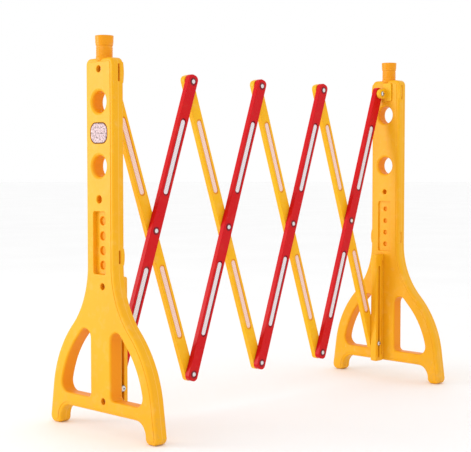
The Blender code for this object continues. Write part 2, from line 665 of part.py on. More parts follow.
def lattice():
    """Eight slats on their hinge lines, with the rivets and tapes that ride on them."""
    for cell in range(1, CELLS + 1):
        left_x = LEFT_PIN_X + (cell - 1) * CELL_WIDTH
        middle_x = left_x + 0.5 * CELL_WIDTH

        yellow_hinge = add_empty(f"yellow_hinge_{cell}", (left_x, 0.0, TOP_PIVOT_Z))
        yellow_hinge.rotation_euler = (0.0, -REST_ANGLE, 0.0)
        middle_z = -0.5 * PIVOT_SPAN
        slat(f"yellow_slat_{cell}", "slat_yellow", YELLOW_Y, middle_z, yellow_hinge)
        tape(f"yellow_tape_upper_{cell}", YELLOW_Y[0], middle_z, 1, yellow_hinge)
        tape(f"yellow_tape_lower_{cell}", YELLOW_Y[0], middle_z, -1, yellow_hinge)
        rivet(f"middle_rivet_{cell}", (0.0, middle_z), yellow_hinge)
        if cell < CELLS:
            rivet(f"bottom_rivet_{cell}", (0.0, -PIVOT_SPAN), yellow_hinge)

        red_hinge = add_empty(f"red_hinge_{cell}", (middle_x, 0.0, MIDDLE_PIVOT_Z))
        red_hinge.rotation_euler = (0.0, REST_ANGLE, 0.0)
        slat(f"red_slat_{cell}", "slat_red", RED_Y, 0.0, red_hinge)
        tape(f"red_tape_upper_{cell}", RED_Y[0], 0.0, 1, red_hinge)
        tape(f"red_tape_lower_{cell}", RED_Y[0], 0.0, -1, red_hinge)
        if cell < CELLS:
            rivet(f"top_rivet_{cell}", (0.0, 0.5 * PIVOT_SPAN), red_hinge)

        if cell == 1:
            at = (0.0, -0.5 * PIVOT_SPAN)
            headed_pin("left_slider_pin", LEFT_RAIL_Y[0], RED_Y[1], at, red_hinge)
            nut("left_slider_nut", RED_Y[1], at, red_hinge)
        if cell == CELLS:
            at = (0.0, -PIVOT_SPAN)
            headed_pin("right_slider_pin", RIGHT_RAIL_Y[0], YELLOW_Y[1], at, yellow_hinge)
            nut("right_slider_nut", YELLOW_Y[1], at, yellow_hinge)


def end_frame(side, inner, pin_x, lug_y, flange_y, pin_back, rail_y, rail_screw_y, bracket_screw_y):
    """One post with everything screwed to it, hung on an empty at its top pin."""
    hinge = add_empty(f"{side}_post_hinge", (pin_x, 0.0, TOP_PIVOT_Z))
    at_post = (-inner * PIN_OFFSET, 0.0, -TOP_PIVOT_Z)
    screws = {
        "rail_screw_upper": (rail_screw_y, RAIL_SCREW_Z[0], SCREW_BITE),
        "rail_screw_lower": (rail_screw_y, RAIL_SCREW_Z[1], SCREW_BITE),
        "bracket_screw": (bracket_screw_y, BRACKET_SCREW_Z, BRACKET_SCREW_BITE),
    }
    post_body(f"{side}_post", "post_yellow", inner, hinge, at_post, screws)
    for kind, (y, z, bite) in screws.items():
        screw(f"{side}_{kind}", inner, y, z, bite, hinge, at_post)
    reflector(f"{side}_reflector", inner, hinge, at_post)
    cap(f"{side}_cap", hinge, at_post)
    slide_rail(f"{side}_slide_rail", inner, rail_y, rail_screw_y, hinge, at_post)
    top_bracket(f"{side}_top_bracket", inner, lug_y, flange_y, bracket_screw_y, hinge, at_post)
    headed_pin(f"{side}_top_pin", lug_y[0] - LUG_BOSS_HEIGHT, pin_back, (0.0, 0.0), hinge)
    nut(f"{side}_top_nut", pin_back, (0.0, 0.0), hinge)


def main():
    clear_scene()
    end_frame("left", 1, LEFT_PIN_X, LEFT_LUG_Y, LEFT_FLANGE_Y, YELLOW_Y[1],
              LEFT_RAIL_Y, LEFT_RAIL_SCREW_Y, LEFT_BRACKET_SCREW_Y)
    end_frame("right", -1, RIGHT_PIN_X, RIGHT_LUG_Y, RIGHT_FLANGE_Y, RED_Y[1],
              RIGHT_RAIL_Y, RIGHT_RAIL_SCREW_Y, RIGHT_BRACKET_SCREW_Y)
    lattice()


main()
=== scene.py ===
import json
import math

import bmesh
import bpy
from bpy.props import FloatProperty, FloatVectorProperty, IntProperty, PointerProperty
from mathutils import Matrix, Vector


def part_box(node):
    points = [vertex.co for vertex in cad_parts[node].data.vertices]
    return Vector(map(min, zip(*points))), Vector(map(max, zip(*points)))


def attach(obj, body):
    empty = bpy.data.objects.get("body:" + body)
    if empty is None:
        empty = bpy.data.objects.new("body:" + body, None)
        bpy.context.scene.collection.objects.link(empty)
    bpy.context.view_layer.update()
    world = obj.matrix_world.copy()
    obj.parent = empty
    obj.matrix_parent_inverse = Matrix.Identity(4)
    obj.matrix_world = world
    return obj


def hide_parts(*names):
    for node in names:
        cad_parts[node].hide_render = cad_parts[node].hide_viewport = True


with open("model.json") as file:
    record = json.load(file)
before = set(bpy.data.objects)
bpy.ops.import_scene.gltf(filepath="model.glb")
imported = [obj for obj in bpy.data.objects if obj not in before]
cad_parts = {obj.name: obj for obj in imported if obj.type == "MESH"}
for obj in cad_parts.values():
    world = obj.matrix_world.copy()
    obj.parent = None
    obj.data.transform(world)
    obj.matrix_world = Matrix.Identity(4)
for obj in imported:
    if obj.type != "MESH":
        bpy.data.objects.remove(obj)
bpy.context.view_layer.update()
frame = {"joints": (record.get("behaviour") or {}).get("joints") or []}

bl_info = {
    "name": "Expanding Barrier",
    "version": (1, 0, 0),
    "blender": (4, 5, 0),
    "location": "3D View > Sidebar > Barrier",
    "description": "Fine pieces, finishes and stage for an expanding crowd control barrier",
    "category": "Add Mesh",
}

# ---- places read from the frame ----

JOINTS = {joint["name"]: joint for joint in frame["joints"]}
TOP_PIN = Vector(JOINTS["lattice_fold"]["pos_m"])
FIRST_MIDDLE = Vector(JOINTS["middle_pivot_1"]["pos_m"])
CELL_WIDTH = 2.0 * (FIRST_MIDDLE.x - TOP_PIN.x)
CELL_HEIGHT = 2.0 * (TOP_PIN.z - FIRST_MIDDLE.z)
REST_ANGLE = math.atan2(CELL_WIDTH, CELL_HEIGHT)
PIVOT_SPAN = math.hypot(CELL_WIDTH, CELL_HEIGHT)
CELLS = sum(name.startswith("middle_pivot") for name in JOINTS)
POST_X = JOINTS["right_cap_turn"]["pos_m"][0]
PIN_OFFSET = POST_X + TOP_PIN.x
INNER = {"left": 1, "right": -1}
SIDE_X = {"left": -POST_X, "right": POST_X}
SCREWS = ("rail_screw_upper", "rail_screw_lower", "bracket_screw")

RED_Y = [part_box("red_slat_1")[end].y for end in (0, 1)]
YELLOW_Y = [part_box("yellow_slat_1")[end].y for end in (0, 1)]
CAP_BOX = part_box("left_cap")
FLOOR_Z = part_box("left_post")[0].z

# ---- sizes of the fine pieces, in metres ----

HALF_POST = 0.019
COLUMN_HALF_WIDTH = 0.0515
COLUMN_FOOT_Z = 0.408
SHOULDER_Z = 0.906
SHOULDER_RADIUS = 0.016
LEG_OUT_RADIUS = 0.217
LEG_IN_RADIUS = 0.280
LEG_SPLAY = 45.0
FOOT_LEAN = 8.0
FOOT_INNER_Y = 0.163
FOOT_INNER_RADIUS = 0.014
FOOT_OUTER_RADIUS = 0.016
CROSSBAR_UNDERSIDE_Z = 0.050
CROSSBAR_FILLET = 0.035
WALL = 0.037
OPENING_BOTTOM_Z = 0.083
OPENING_TOP_RADIUS = 0.021
OPENING_OUTER_RADIUS = 0.024
OPENING_INNER_RADIUS = 0.012
MULLION_HALF_WIDTH = 0.039
BIG_HOLE_Z = (0.8016, 0.6477)
BIG_HOLE_RADIUS = 0.0255
BIG_HOLE_FLARE = 0.0082
OPENING_FLARE = 0.0055
SMALL_HOLE_Z = 0.568
SMALL_HOLE_RADIUS = {"outer": 0.0096, "inner": 0.0072}
SMALL_HOLE_DEPTH = 0.012
SMALL_HOLE_FLARE = 0.0022
RECESS_Z = (0.387, 0.539)
RECESS_HALF_WIDTH = 0.0235
RECESS_CORNER = 0.006
RECESS_FLARE = 0.0016
RECESS_DEPTH = {"outer": 0.011, "inner": 0.005}
RECESS_HOLE_RADIUS = {"outer": 0.0102, "inner": 0.0066}
RECESS_HOLE_DEPTH = 0.005
RECESS_HOLE_FLARE = 0.0018
RECESS_HOLE_Z = (0.516, 0.4795, 0.444, 0.4086)
LOOP_Z = ((0.845, 0.895), (0.410, 0.450))
LOOP_OUT = 0.0028
LOOP_X = (0.0045, 0.0165)
LOOP_SLOT_X = (0.0006, 0.0038)
LOOP_DEEP = 0.009
LOOP_CORNER = 0.004
LOOP_FLARE = 0.0012
LOOP_EDGE = 0.0022
CAP_BOTTOM_Z = 0.9360
NECK_RADIUS = 0.0202
NECK_INSIDE = 0.0174
NECK_RING_PITCH = 0.0046
NECK_RING = ((-0.0005, 0.0), (0.0, 0.0006), (0.0002, 0.0013), (0.0, 0.0020), (-0.0005, 0.0026))
REFLECTOR_Z = 0.727
REFLECTOR_HALF = (0.032, 0.025)
REFLECTOR_CORNER = 0.020
REFLECTOR_SEAT = 0.0030
REFLECTOR_CLEARANCE = 0.0006
REFLECTOR_FLARE = 0.001
BEZEL_WIDTH = 0.0019
BEZEL_EDGE = 0.0009
SCREW_SINK_RADIUS = 0.0082
SCREW_SINK_DEPTH = 0.012
SCREW_SINK_FLARE = 0.0016
SCREW_RADIUS = 0.0025
SCREW_HEAD_HEIGHT = 0.0040
DRIVE_HALF = (0.0006, 0.0027)
RAIL_CORNER = 0.006
RAIL_EDGE = 0.0024
RAIL_SLOT_ENDS = (0.0103, 0.0360)
GROOVE_X = (0.0045, 0.0095)
GROOVE_END = 0.020
GROOVE_DEPTH = 0.0022
GROOVE_FLARE = 0.0010
SLAT_HALF_WIDTH = 0.016
SLAT_END = 0.018
SLAT_CORNER = 0.0125
PIVOT_SEAT_RADIUS = 0.0108
PIVOT_SEAT_DEPTH = 0.0005
PIVOT_SEAT_SLOPE = 0.0008
POCKET_START = 0.0935
POCKET_LENGTH = 0.207
POCKET_HALF_WIDTH = 0.0082
POCKET_DEPTH = 0.0016
TAPE_LENGTH = 0.199
TAPE_HALF_WIDTH = 0.0066
PIN_RADIUS = 0.0030
PIN_HOLE_RADIUS = 0.0036
PIN_HEAD_RADIUS = 0.0068
PIN_HEAD_HEIGHT = 0.0032
NUT_RADIUS = 0.0062
NUT_HEIGHT = 0.0048
SOCKET_RADIUS = 0.0026
RIVET_HEAD_RADIUS = 0.0055
RIVET_WASHER_RADIUS = 0.0064
PIN_WASHER_RADIUS = 0.0079
WASHER_THICKNESS = 0.0009
RIVET_DOME_HEIGHT = 0.0021
LUG_FRONT_Y = {"left": 0.0062, "right": -0.0060}
LUG_RADIUS = 0.014
LUG_EDGE = 0.0016
LUG_BOSS_RADIUS = 0.0105
LUG_BOSS_HEIGHT = 0.002
FLANGE_THICKNESS = 0.005
FLANGE_CORNER = 0.005
FLANGE_EDGE = 0.0014
GAP = 0.0003
PAST = 0.004
MOUTH_PAST = 0.0008
MERGE = 1e-6
SHARP_ANGLE = math.radians(38.0)
MOUTH_SWEEP = 78.0
COLOR = {"subtype": "COLOR", "min": 0.0, "max": 1.0}


class BARRIER_PG_post(bpy.types.PropertyGroup):
    rim_radius: FloatProperty(
        name="Rim Radius", description="Round along the rim of the posts", default=0.0062,
        min=0.002, max=0.009, unit="LENGTH",
    )
    lip_width: FloatProperty(
        name="Lip Width", description="Distance from the rim's round to the raised panel",
        default=0.0022, min=0.0, max=0.006, unit="LENGTH",
    )
    lip_height: FloatProperty(
        name="Lip Height", description="Height of the raised panel above the lip",
        default=0.0018, min=0.0, max=0.003, unit="LENGTH",
    )
    arc_steps: IntProperty(
        name="Arc Steps", description="Segments along each long arc of a leg", default=26, min=6, max=60,
    )


class BARRIER_PG_lattice(bpy.types.PropertyGroup):
    edge_radius: FloatProperty(
        name="Edge Radius", description="Round along the edges of the slats", default=0.0013,
        min=0.0005, max=0.005, unit="LENGTH",
    )
    tape_thickness: FloatProperty(
        name="Tape Thickness", description="Thickness of the reflective strips", default=0.0008,
        min=0.0003, max=0.0015, unit="LENGTH",
    )


class BARRIER_PG_finish(bpy.types.PropertyGroup):
    post_color: FloatVectorProperty(
        name="Post Colour", description="Colour of the moulded posts", default=(0.86, 0.42, 0.010), **COLOR,
    )
    # Painted shade: this darker colour inside holes and recesses stands for the shade there; the same colour
    # also sets the random colour drift.
    hole_shade_and_drift_color: FloatVectorProperty(
        name="Hollow Colour", description="Deeper colour inside holes and recesses",
        default=(0.86, 0.31, 0.004), **COLOR,
    )
    cap_color: FloatVectorProperty(
        name="Cap Colour", description="Colour of the caps and necks", default=(0.84, 0.32, 0.008), **COLOR,
    )
    red_color: FloatVectorProperty(
        name="Red Slat Colour", description="Colour of the front slats",
        default=(0.60, 0.006, 0.007), **COLOR,
    )
    yellow_color: FloatVectorProperty(
        name="Yellow Slat Colour", description="Colour of the rear slats",
        default=(0.89, 0.47, 0.012), **COLOR,
    )
    tape_color: FloatVectorProperty(
        name="Tape Colour", description="Colour of the reflective strips",
        default=(0.86, 0.80, 0.82), **COLOR,
    )


class BARRIER_PG_stage(bpy.types.PropertyGroup):
    camera_place: FloatVectorProperty(
        name="Camera Place", description="Where the camera stands", default=(-2.3539, -2.2561, 0.6532),
        subtype="TRANSLATION", size=3,
    )
    camera_turn: FloatProperty(
        name="Camera Turn", description="Turn of the camera about Z from looking along +Y",
        default=math.radians(-44.861), subtype="ANGLE",
    )
    camera_pitch: FloatProperty(
        name="Camera Pitch", description="How far the camera looks down",
        default=math.radians(2.99), subtype="ANGLE",
    )
    camera_lens: FloatProperty(
        name="Camera Lens", description="Focal length on a 36 mm wide sensor, in millimetres",
        default=90.91, min=20.0, max=300.0,
    )
    key_power: FloatProperty(
        name="Key Power", description="Power of the large soft light on the left", default=60.0,
        min=0.0, unit="POWER",
    )
    fill_power: FloatProperty(
        name="Fill Power", description="Power of the soft light in front", default=10.0,
        min=0.0, unit="POWER",
    )
    sky_strength: FloatProperty(
        name="Surround Strength", description="Brightness of the white surround", default=1.0, min=0.0,
    )


# ---- outlines ----


def arc(center, radius, start, end, steps):
    """Points on an arc between two angles in degrees, both ends included."""
    angles = [math.radians(start + (end - start) * i / steps) for i in range(steps + 1)]
    return [(center[0] + radius * math.cos(a), center[1] + radius * math.sin(a)) for a in angles]


def circle(center, radius, sides=24):
    """An outline: a function that draws a circle moved in by inset."""
    return lambda inset: arc(center, radius - inset, 0.0, 360.0 * (sides - 1) / sides, sides - 1)


def around(center, half):
    """The low and high corner of a rectangle from its centre and half sides."""
    return [(center[0] + sign * half[0], center[1] + sign * half[1]) for sign in (-1, 1)]


def rounded_rectangle(low, high, radius, steps=8):
    """An outline: a rectangle with round corners."""
    (left, bottom), (right, top) = low, high
    centers = ((right - radius, top - radius), (left + radius, top - radius),
               (left + radius, bottom + radius), (right - radius, bottom + radius))

    def draw(inset):
        points = []
        for quarter, center in enumerate(centers):
            points += arc(center, radius - inset, 90.0 * quarter, 90.0 * (quarter + 1), steps)
        return points

    return draw


def stadium(low, high, steps=12):
    """An outline: a slot with round ends, long in its second coordinate."""
    radius = 0.5 * (high[0] - low[0])
    middle = 0.5 * (high[0] + low[0])

    def draw(inset):
        points = arc((middle, high[1] - radius), radius - inset, 0.0, 180.0, steps)
        return points + arc((middle, low[1] + radius), radius - inset, 180.0, 360.0, steps)

    return draw


def leg_centers():
    """Centres of the two long arcs of a leg: the one that splays out and the one that turns it down."""
    splay = math.radians(LEG_SPLAY)
    out = (COLUMN_HALF_WIDTH + LEG_OUT_RADIUS, COLUMN_FOOT_Z)
    turn = (out[0] - LEG_OUT_RADIUS * math.cos(splay), out[1] - LEG_OUT_RADIUS * math.sin(splay))
    down = (turn[0] - LEG_IN_RADIUS * math.cos(splay), turn[1] - LEG_IN_RADIUS * math.sin(splay))
    return out, down


def post_outline(steps):
    """An outline: the A-frame in Y and Z, of which half is drawn and the rest mirrored."""
    out, down = leg_centers()
    lean = math.radians(FOOT_LEAN)
    reach = math.cos(lean) * down[0] + math.sin(lean) * down[1] + LEG_IN_RADIUS - FOOT_OUTER_RADIUS
    outer_foot = ((reach - math.sin(lean) * FOOT_OUTER_RADIUS) / math.cos(lean), FOOT_OUTER_RADIUS)
    inner_foot = (FOOT_INNER_Y + FOOT_INNER_RADIUS, FOOT_INNER_RADIUS)
    fillet = (FOOT_INNER_Y - CROSSBAR_FILLET, CROSSBAR_UNDERSIDE_Z - CROSSBAR_FILLET)
    shoulder = (COLUMN_HALF_WIDTH - SHOULDER_RADIUS, SHOULDER_Z - SHOULDER_RADIUS)

    def draw(inset):
        half = arc(fillet, CROSSBAR_FILLET + inset, 90.0, 0.0, 12)
        half += arc(inner_foot, FOOT_INNER_RADIUS - inset, 180.0, 270.0, 8)
        half += arc(outer_foot, FOOT_OUTER_RADIUS - inset, -90.0, FOOT_LEAN, 8)
        half += arc(down, LEG_IN_RADIUS - inset, FOOT_LEAN, LEG_SPLAY, steps)
        half += arc(out, LEG_OUT_RADIUS + inset, 180.0 + LEG_SPLAY, 180.0, steps)[1:]
        half += arc(shoulder, SHOULDER_RADIUS - inset, 0.0, 90.0, 10)
        return half + [(-y, z) for y, z in reversed(half)]

    return draw


def leg_opening(side, steps):
    """An outline: the opening between leg and mullion, on the side of the sign."""
    out, down = leg_centers()
    side_radius = LEG_IN_RADIUS - WALL
    low_z = OPENING_BOTTOM_Z + OPENING_OUTER_RADIUS
    rise = low_z - down[1]
    low_outer = (down[0] + math.sqrt((side_radius - OPENING_OUTER_RADIUS) ** 2 - rise**2), low_z)
    start = math.degrees(math.atan2(rise, low_outer[0] - down[0]))
    top_y = MULLION_HALF_WIDTH + OPENING_TOP_RADIUS
    across = out[0] - top_y
    drop = math.sqrt((LEG_OUT_RADIUS + WALL + OPENING_TOP_RADIUS) ** 2 - across**2)
    end = math.degrees(math.atan2(drop, across))
    low_inner = (MULLION_HALF_WIDTH + OPENING_INNER_RADIUS, OPENING_BOTTOM_Z + OPENING_INNER_RADIUS)

    def draw(inset):
        points = arc(low_inner, OPENING_INNER_RADIUS - inset, 180.0, 270.0, 8)
        points += arc(low_outer, OPENING_OUTER_RADIUS - inset, -90.0, start, 12)
        points += arc(down, side_radius - inset, start, LEG_SPLAY, steps)[1:]
        points += arc(out, LEG_OUT_RADIUS + WALL + inset, 180.0 + LEG_SPLAY, 180.0 + end, steps // 3)[1:]
        points += arc((top_y, out[1] - drop), OPENING_TOP_RADIUS - inset, end, 180.0, 12)[1:]
        return [(side * y, z) for y, z in points]

    return draw


def strap_hump(side, low, high):
    """An outline: a low arch on the edge of a post, seen along X, that a strap passes under."""
    half = 0.5 * (high - low)
    radius = (half**2 + LOOP_OUT**2) / (2.0 * LOOP_OUT)
    center = (COLUMN_HALF_WIDTH + LOOP_OUT - radius, 0.5 * (low + high))
    reach = math.degrees(math.asin(half / radius))
    root = COLUMN_HALF_WIDTH - LOOP_DEEP

    def draw(inset):
        points = arc(center, radius - inset, -reach, reach, 16)
        points += [(root, high - inset), (root, low + inset)]
        return [(side * y, z) for y, z in points]

    return draw


def lug_outline(near):
    """An outline: a lug with a round end about its pin, in X and Z."""
    center = (PIN_OFFSET, TOP_PIN.z)

    def draw(inset):
        radius = LUG_RADIUS - inset
        points = arc(center, radius, -90.0, 90.0, 18)
        return points + [(near + inset, center[1] + radius), (near + inset, center[1] - radius)]

    return draw


# ---- profiles: lists of (level, inset) from one face of a plate to the other ----


def round_rim(low, high, radius, steps=5):
    """Both rims of a plate rounded."""
    first = [(low + radius + h, radius + r) for r, h in arc((0.0, 0.0), radius, 180.0, 270.0, steps)]
    last = [(high - radius + h, radius - r) for r, h in arc((0.0, 0.0), radius, 0.0, 90.0, steps)]
    return [(level, inset) for level, inset in reversed(first)] + last


def flared_mouth(low, high, flare, ends=(True, True), steps=6):
    """A cutter whose mouth at each open end widens with a soft round."""
    grow = MOUTH_PAST / math.tan(math.radians(98.0 - MOUTH_SWEEP))
    profile = []
    for sign, level, is_open in ((-1, low, ends[0]), (1, high, ends[1])):
        side = [(level, 0.0)]
        if is_open:
            turns = [math.radians(MOUTH_SWEEP * i / steps) for i in range(steps + 1)]
            side = [(level - sign * flare * (1.0 - math.sin(t)), -flare * (1.0 - math.cos(t))) for t in turns]
            side.append((level + sign * MOUTH_PAST, side[-1][1] - grow))
        profile += side if sign > 0 else side[::-1]
    return profile


# ---- modelling ----


def add_loft(bm, outline, profile, axis="X"):
    """Join rings of an outline, one for each (level, inset) of the profile, and close both ends."""
    rings = []
    for level, inset in profile:
        corners = []
        for u, v in outline(inset):
            corners.append(bm.verts.new((level, u, v) if axis == "X" else (u, level, v)))
        edges = [bm.edges.new((a, b)) for a, b in zip(corners, corners[1:] + corners[:1])]
        rings.append((corners, edges))
    for (_, near), (_, far) in zip(rings, rings[1:]):
        bmesh.ops.bridge_loops(bm, edges=near + far)
    bm.faces.new(rings[0][0])
    bm.faces.new(rings[-1][0])
    return bm


def rod(radius, low, high):
    """A plain rod's profile."""
    return [(0.0, low), (radius, low), (radius, high), (0.0, high)]


def add_turned(bm, profile, axis="Z", center=(0.0, 0.0, 0.0), steps=48, ring=False):
    """Turn a profile of (radius, height) points that starts and ends on the axis, or a closed one."""
    there = set(bm.verts)
    corners = [bm.verts.new((radius, 0.0, height)) for radius, height in profile]
    ends = corners[1:] + corners[:1] if ring else corners[1:]
    edges = [bm.edges.new(pair) for pair in zip(corners, ends)]
    bmesh.ops.spin(
        bm, geom=corners + edges, cent=(0.0, 0.0, 0.0), axis=(0.0, 0.0, 1.0),
        angle=2.0 * math.pi, steps=steps, use_merge=True,
    )
    turned = [vertex for vertex in bm.verts if vertex not in there]
    turn = {
        "X": Matrix.Rotation(math.radians(90.0), 4, "Y"),
        "Y": Matrix.Rotation(math.radians(-90.0), 4, "X"),
        "Z": Matrix.Identity(4),
    }[axis]
    bmesh.ops.transform(bm, matrix=Matrix.Translation(center) @ turn, verts=turned)
    bmesh.ops.remove_doubles(bm, verts=turned, dist=MERGE)
    return bm


def add_hexagon(bm, center, radius, low, high, edge):
    """A six-sided bar along Y with its end rims softened."""
    return add_loft(bm, circle(center, radius, 6), round_rim(low, high, edge, 2), "Y")


def lay_along(bm):
    """Give a piece made along local Z a map of its width and length, in metres."""
    along = bm.loops.layers.uv.new("along")
    for face in bm.faces:
        for loop in face.loops:
            loop[along].uv = (loop.vert.co.x, loop.vert.co.z)


def as_object(name, bm, materials, matrix):
    bm.transform(matrix)
    bm.normal_update()
    bmesh.ops.recalc_face_normals(bm, faces=bm.faces)
    mesh = bpy.data.meshes.new(name)
    bm.to_mesh(mesh)
    bm.free()
    for material in materials:
        mesh.materials.append(material)
    item = bpy.data.objects.new(name, mesh)
    bpy.context.scene.collection.objects.link(item)
    return item


def make_piece(name, bm, body, material, nodes=(), matrix=Matrix(), joins=(), cuts=()):
    """Finish one piece: joins and cuts pair a bmesh with the material that its surface leaves."""
    piece = as_object(name, bm, [material], matrix)
    tools = []
    for operation, shapes in (("UNION", joins), ("DIFFERENCE", cuts)):
        for shape, surface in shapes:
            tool = as_object(f"{name}_tool", shape, [surface], matrix)
            change = piece.modifiers.new("shape", "BOOLEAN")
            change.operation = operation
            change.object = tool
            change.solver = "EXACT"
            change.material_mode = "TRANSFER"
            tools.append(tool)
    piece.data.shade_smooth()
    apply_changes(piece)
    for tool in tools:
        bpy.data.objects.remove(tool)
    piece.data.shade_smooth()
    piece.data.set_sharp_from_angle(angle=SHARP_ANGLE)
    weight = piece.modifiers.new("flat faces", "WEIGHTED_NORMAL")
    weight.keep_sharp = True
    weight.weight = 100
    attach(piece, body)
    if nodes:
        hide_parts(*nodes)


def apply_changes(piece):
    """Replace the piece's mesh by what its modifiers make of it."""
    depsgraph = bpy.context.evaluated_depsgraph_get()
    mesh = bpy.data.meshes.new_from_object(piece.evaluated_get(depsgraph))
    piece.modifiers.clear()
    piece.data = mesh


def middle_of(node):
    """The middle of a node's box at rest."""
    return [0.5 * (low + high) for low, high in zip(*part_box(node))]


def post_place(side):
    """Posts and what is screwed to them are drawn with the lattice side at +X, then placed."""
    mirror = Matrix.Scale(INNER[side], 4, (1.0, 0.0, 0.0))
    return Matrix.Translation((SIDE_X[side], 0.0, 0.0)) @ mirror


def frame_piece(side, part, bm, material, nodes=(), joins=(), cuts=()):
    """Finish a piece that is fixed to a post; parts and nodes are named without their side."""
    make_piece(f"{side}_{part}", bm, f"{side}_frame", material,
               [f"{side}_{node}" for node in nodes], post_place(side), joins, cuts)


def slat_place(color, cell):
    """A slat is drawn along Z with its middle pivot at the origin."""
    x = TOP_PIN.x + (cell - 0.5) * CELL_WIDTH
    z = TOP_PIN.z - 0.5 * CELL_HEIGHT
    lean = REST_ANGLE if color == "red" else -REST_ANGLE
    return Matrix.Translation((x, 0.0, z)) @ Matrix.Rotation(lean, 4, "Y")


# ---- shader groups ----


def new_group(name, inputs):
    """Start a group that reads a vector and the given colours and numbers, with their defaults."""
    group = bpy.data.node_groups.new(name, "ShaderNodeTree")
    group.interface.new_socket("Vector", in_out="INPUT", socket_type="NodeSocketVector")
    for label, default in inputs.items():
        kind = "NodeSocketColor" if isinstance(default, tuple) else "NodeSocketFloat"
        group.interface.new_socket(label, in_out="INPUT", socket_type=kind).default_value = default
    for label, kind in (("Color", "Color"), ("Roughness", "Float"), ("Height", "Float")):
        group.interface.new_socket(label, in_out="OUTPUT", socket_type=f"NodeSocket{kind}")
    return group, group.nodes.new("NodeGroupInput").outputs


def end_group(tree, color, roughness, height):
    """Lead a group's results out of it."""
    end = tree.nodes.new("NodeGroupOutput")
    for label, value in (("Color", color), ("Roughness", roughness), ("Height", height)):
        tree.links.new(value, end.inputs[label])
    return tree


def add_node(tree, kind, links=None, **settings):
    """Add a node; links maps an input's name or number to a socket or a plain value."""
    made = tree.nodes.new(kind)
    for key, value in settings.items():
        setattr(made, key, value)
    for key, value in (links or {}).items():
        if isinstance(value, bpy.types.NodeSocket):
            tree.links.new(value, made.inputs[key])
        else:
            made.inputs[key].default_value = value
    return made


def math_node(tree, operation, *values, clamp=False):
    links = dict(enumerate(values))
    return add_node(tree, "ShaderNodeMath", links, operation=operation, use_clamp=clamp).outputs[0]


def product(tree, first, second):
    return math_node(tree, "MULTIPLY", first, second)


def total(tree, first, second, clamp=False):
    return math_node(tree, "ADD", first, second, clamp=clamp)


def noise(tree, vector, scale, detail=3.0, roughness=0.5, distortion=0.0):
    links = {
        "Vector": vector, "Scale": scale, "Detail": detail, "Roughness": roughness,
        "Distortion": distortion,
    }
    return add_node(tree, "ShaderNodeTexNoise", links).outputs["Fac"]


def span(tree, value, low, high, to_low=0.0, to_high=1.0):
    """Map a value from one span to another with a smooth step."""
    links = {"Value": value, "From Min": low, "From Max": high, "To Min": to_low, "To Max": to_high}
    return add_node(tree, "ShaderNodeMapRange", links, interpolation_type="SMOOTHSTEP").outputs["Result"]


def mix_color(tree, factor, first, second):
    links = {0: factor, 6: first, 7: second}
    return add_node(tree, "ShaderNodeMix", links, data_type="RGBA").outputs[2]


def moulded_group():
    """Moulded plastic: slow colour drift, fine grain, faint scuffs and dust near the floor."""
    tree, value = new_group("Moulded Plastic", {
        "Color": (0.9, 0.5, 0.05, 1.0), "Drift": (0.98, 0.3, 0.01, 1.0), "Drift Share": 0.18,
        "Gloss": 0.36, "Scuffs": 0.35, "Dust": 0.4, "Grain": 0.5, "Bloom": 0.07,
    })
    place = value["Vector"]
    slow = noise(tree, place, 7.0, 2.0)
    cloud = noise(tree, place, 38.0, 4.0, 0.6)
    grain = noise(tree, place, 900.0, 2.0, 0.6)
    pebble = add_node(
        tree, "ShaderNodeTexVoronoi", {"Vector": place, "Scale": 620.0}, feature="SMOOTH_F1"
    ).outputs["Distance"]
    drift = product(tree, span(tree, slow, 0.32, 0.68), value["Drift Share"])
    color = mix_color(tree, drift, value["Color"], value["Drift"])
    pale = mix_color(tree, product(tree, span(tree, cloud, 0.5, 0.75), value["Bloom"]),
                     color, (1.0, 0.82, 0.5, 1.0))

    stretch = add_node(tree, "ShaderNodeMapping", {"Vector": place, "Scale": (1.0, 1.0, 0.12)})
    lines = noise(tree, stretch.outputs[0], 260.0, 3.0, 0.7, 0.6)
    patches = span(tree, noise(tree, place, 12.0, 3.0), 0.5, 0.66)
    scuff = product(tree, product(tree, span(tree, lines, 0.62, 0.72), patches), value["Scuffs"])
    scuffed = mix_color(tree, product(tree, scuff, 0.35), pale, (0.9, 0.78, 0.62, 1.0))

    height_up = add_node(tree, "ShaderNodeSeparateXYZ", {0: place}).outputs["Z"]
    low = span(tree, height_up, 0.13, 0.0)
    motes = span(tree, noise(tree, place, 46.0, 5.0, 0.65), 0.42, 0.7)
    dusty = product(tree, product(tree, low, motes), value["Dust"])
    dusted = mix_color(tree, product(tree, dusty, 0.45), scuffed, (0.36, 0.27, 0.18, 1.0))

    rough = total(tree, value["Gloss"], span(tree, cloud, 0.3, 0.7, -0.05, 0.06))
    rough = total(tree, rough, product(tree, scuff, 0.22))
    rough = total(tree, rough, product(tree, dusty, 0.3), clamp=True)

    fine = product(tree, total(tree, grain, pebble), value["Grain"])
    relief = total(tree, product(tree, fine, 0.00006), product(tree, slow, 0.0011))
    relief = math_node(tree, "SUBTRACT", relief, product(tree, scuff, 0.00005))
    return end_group(tree, dusted, rough, relief)


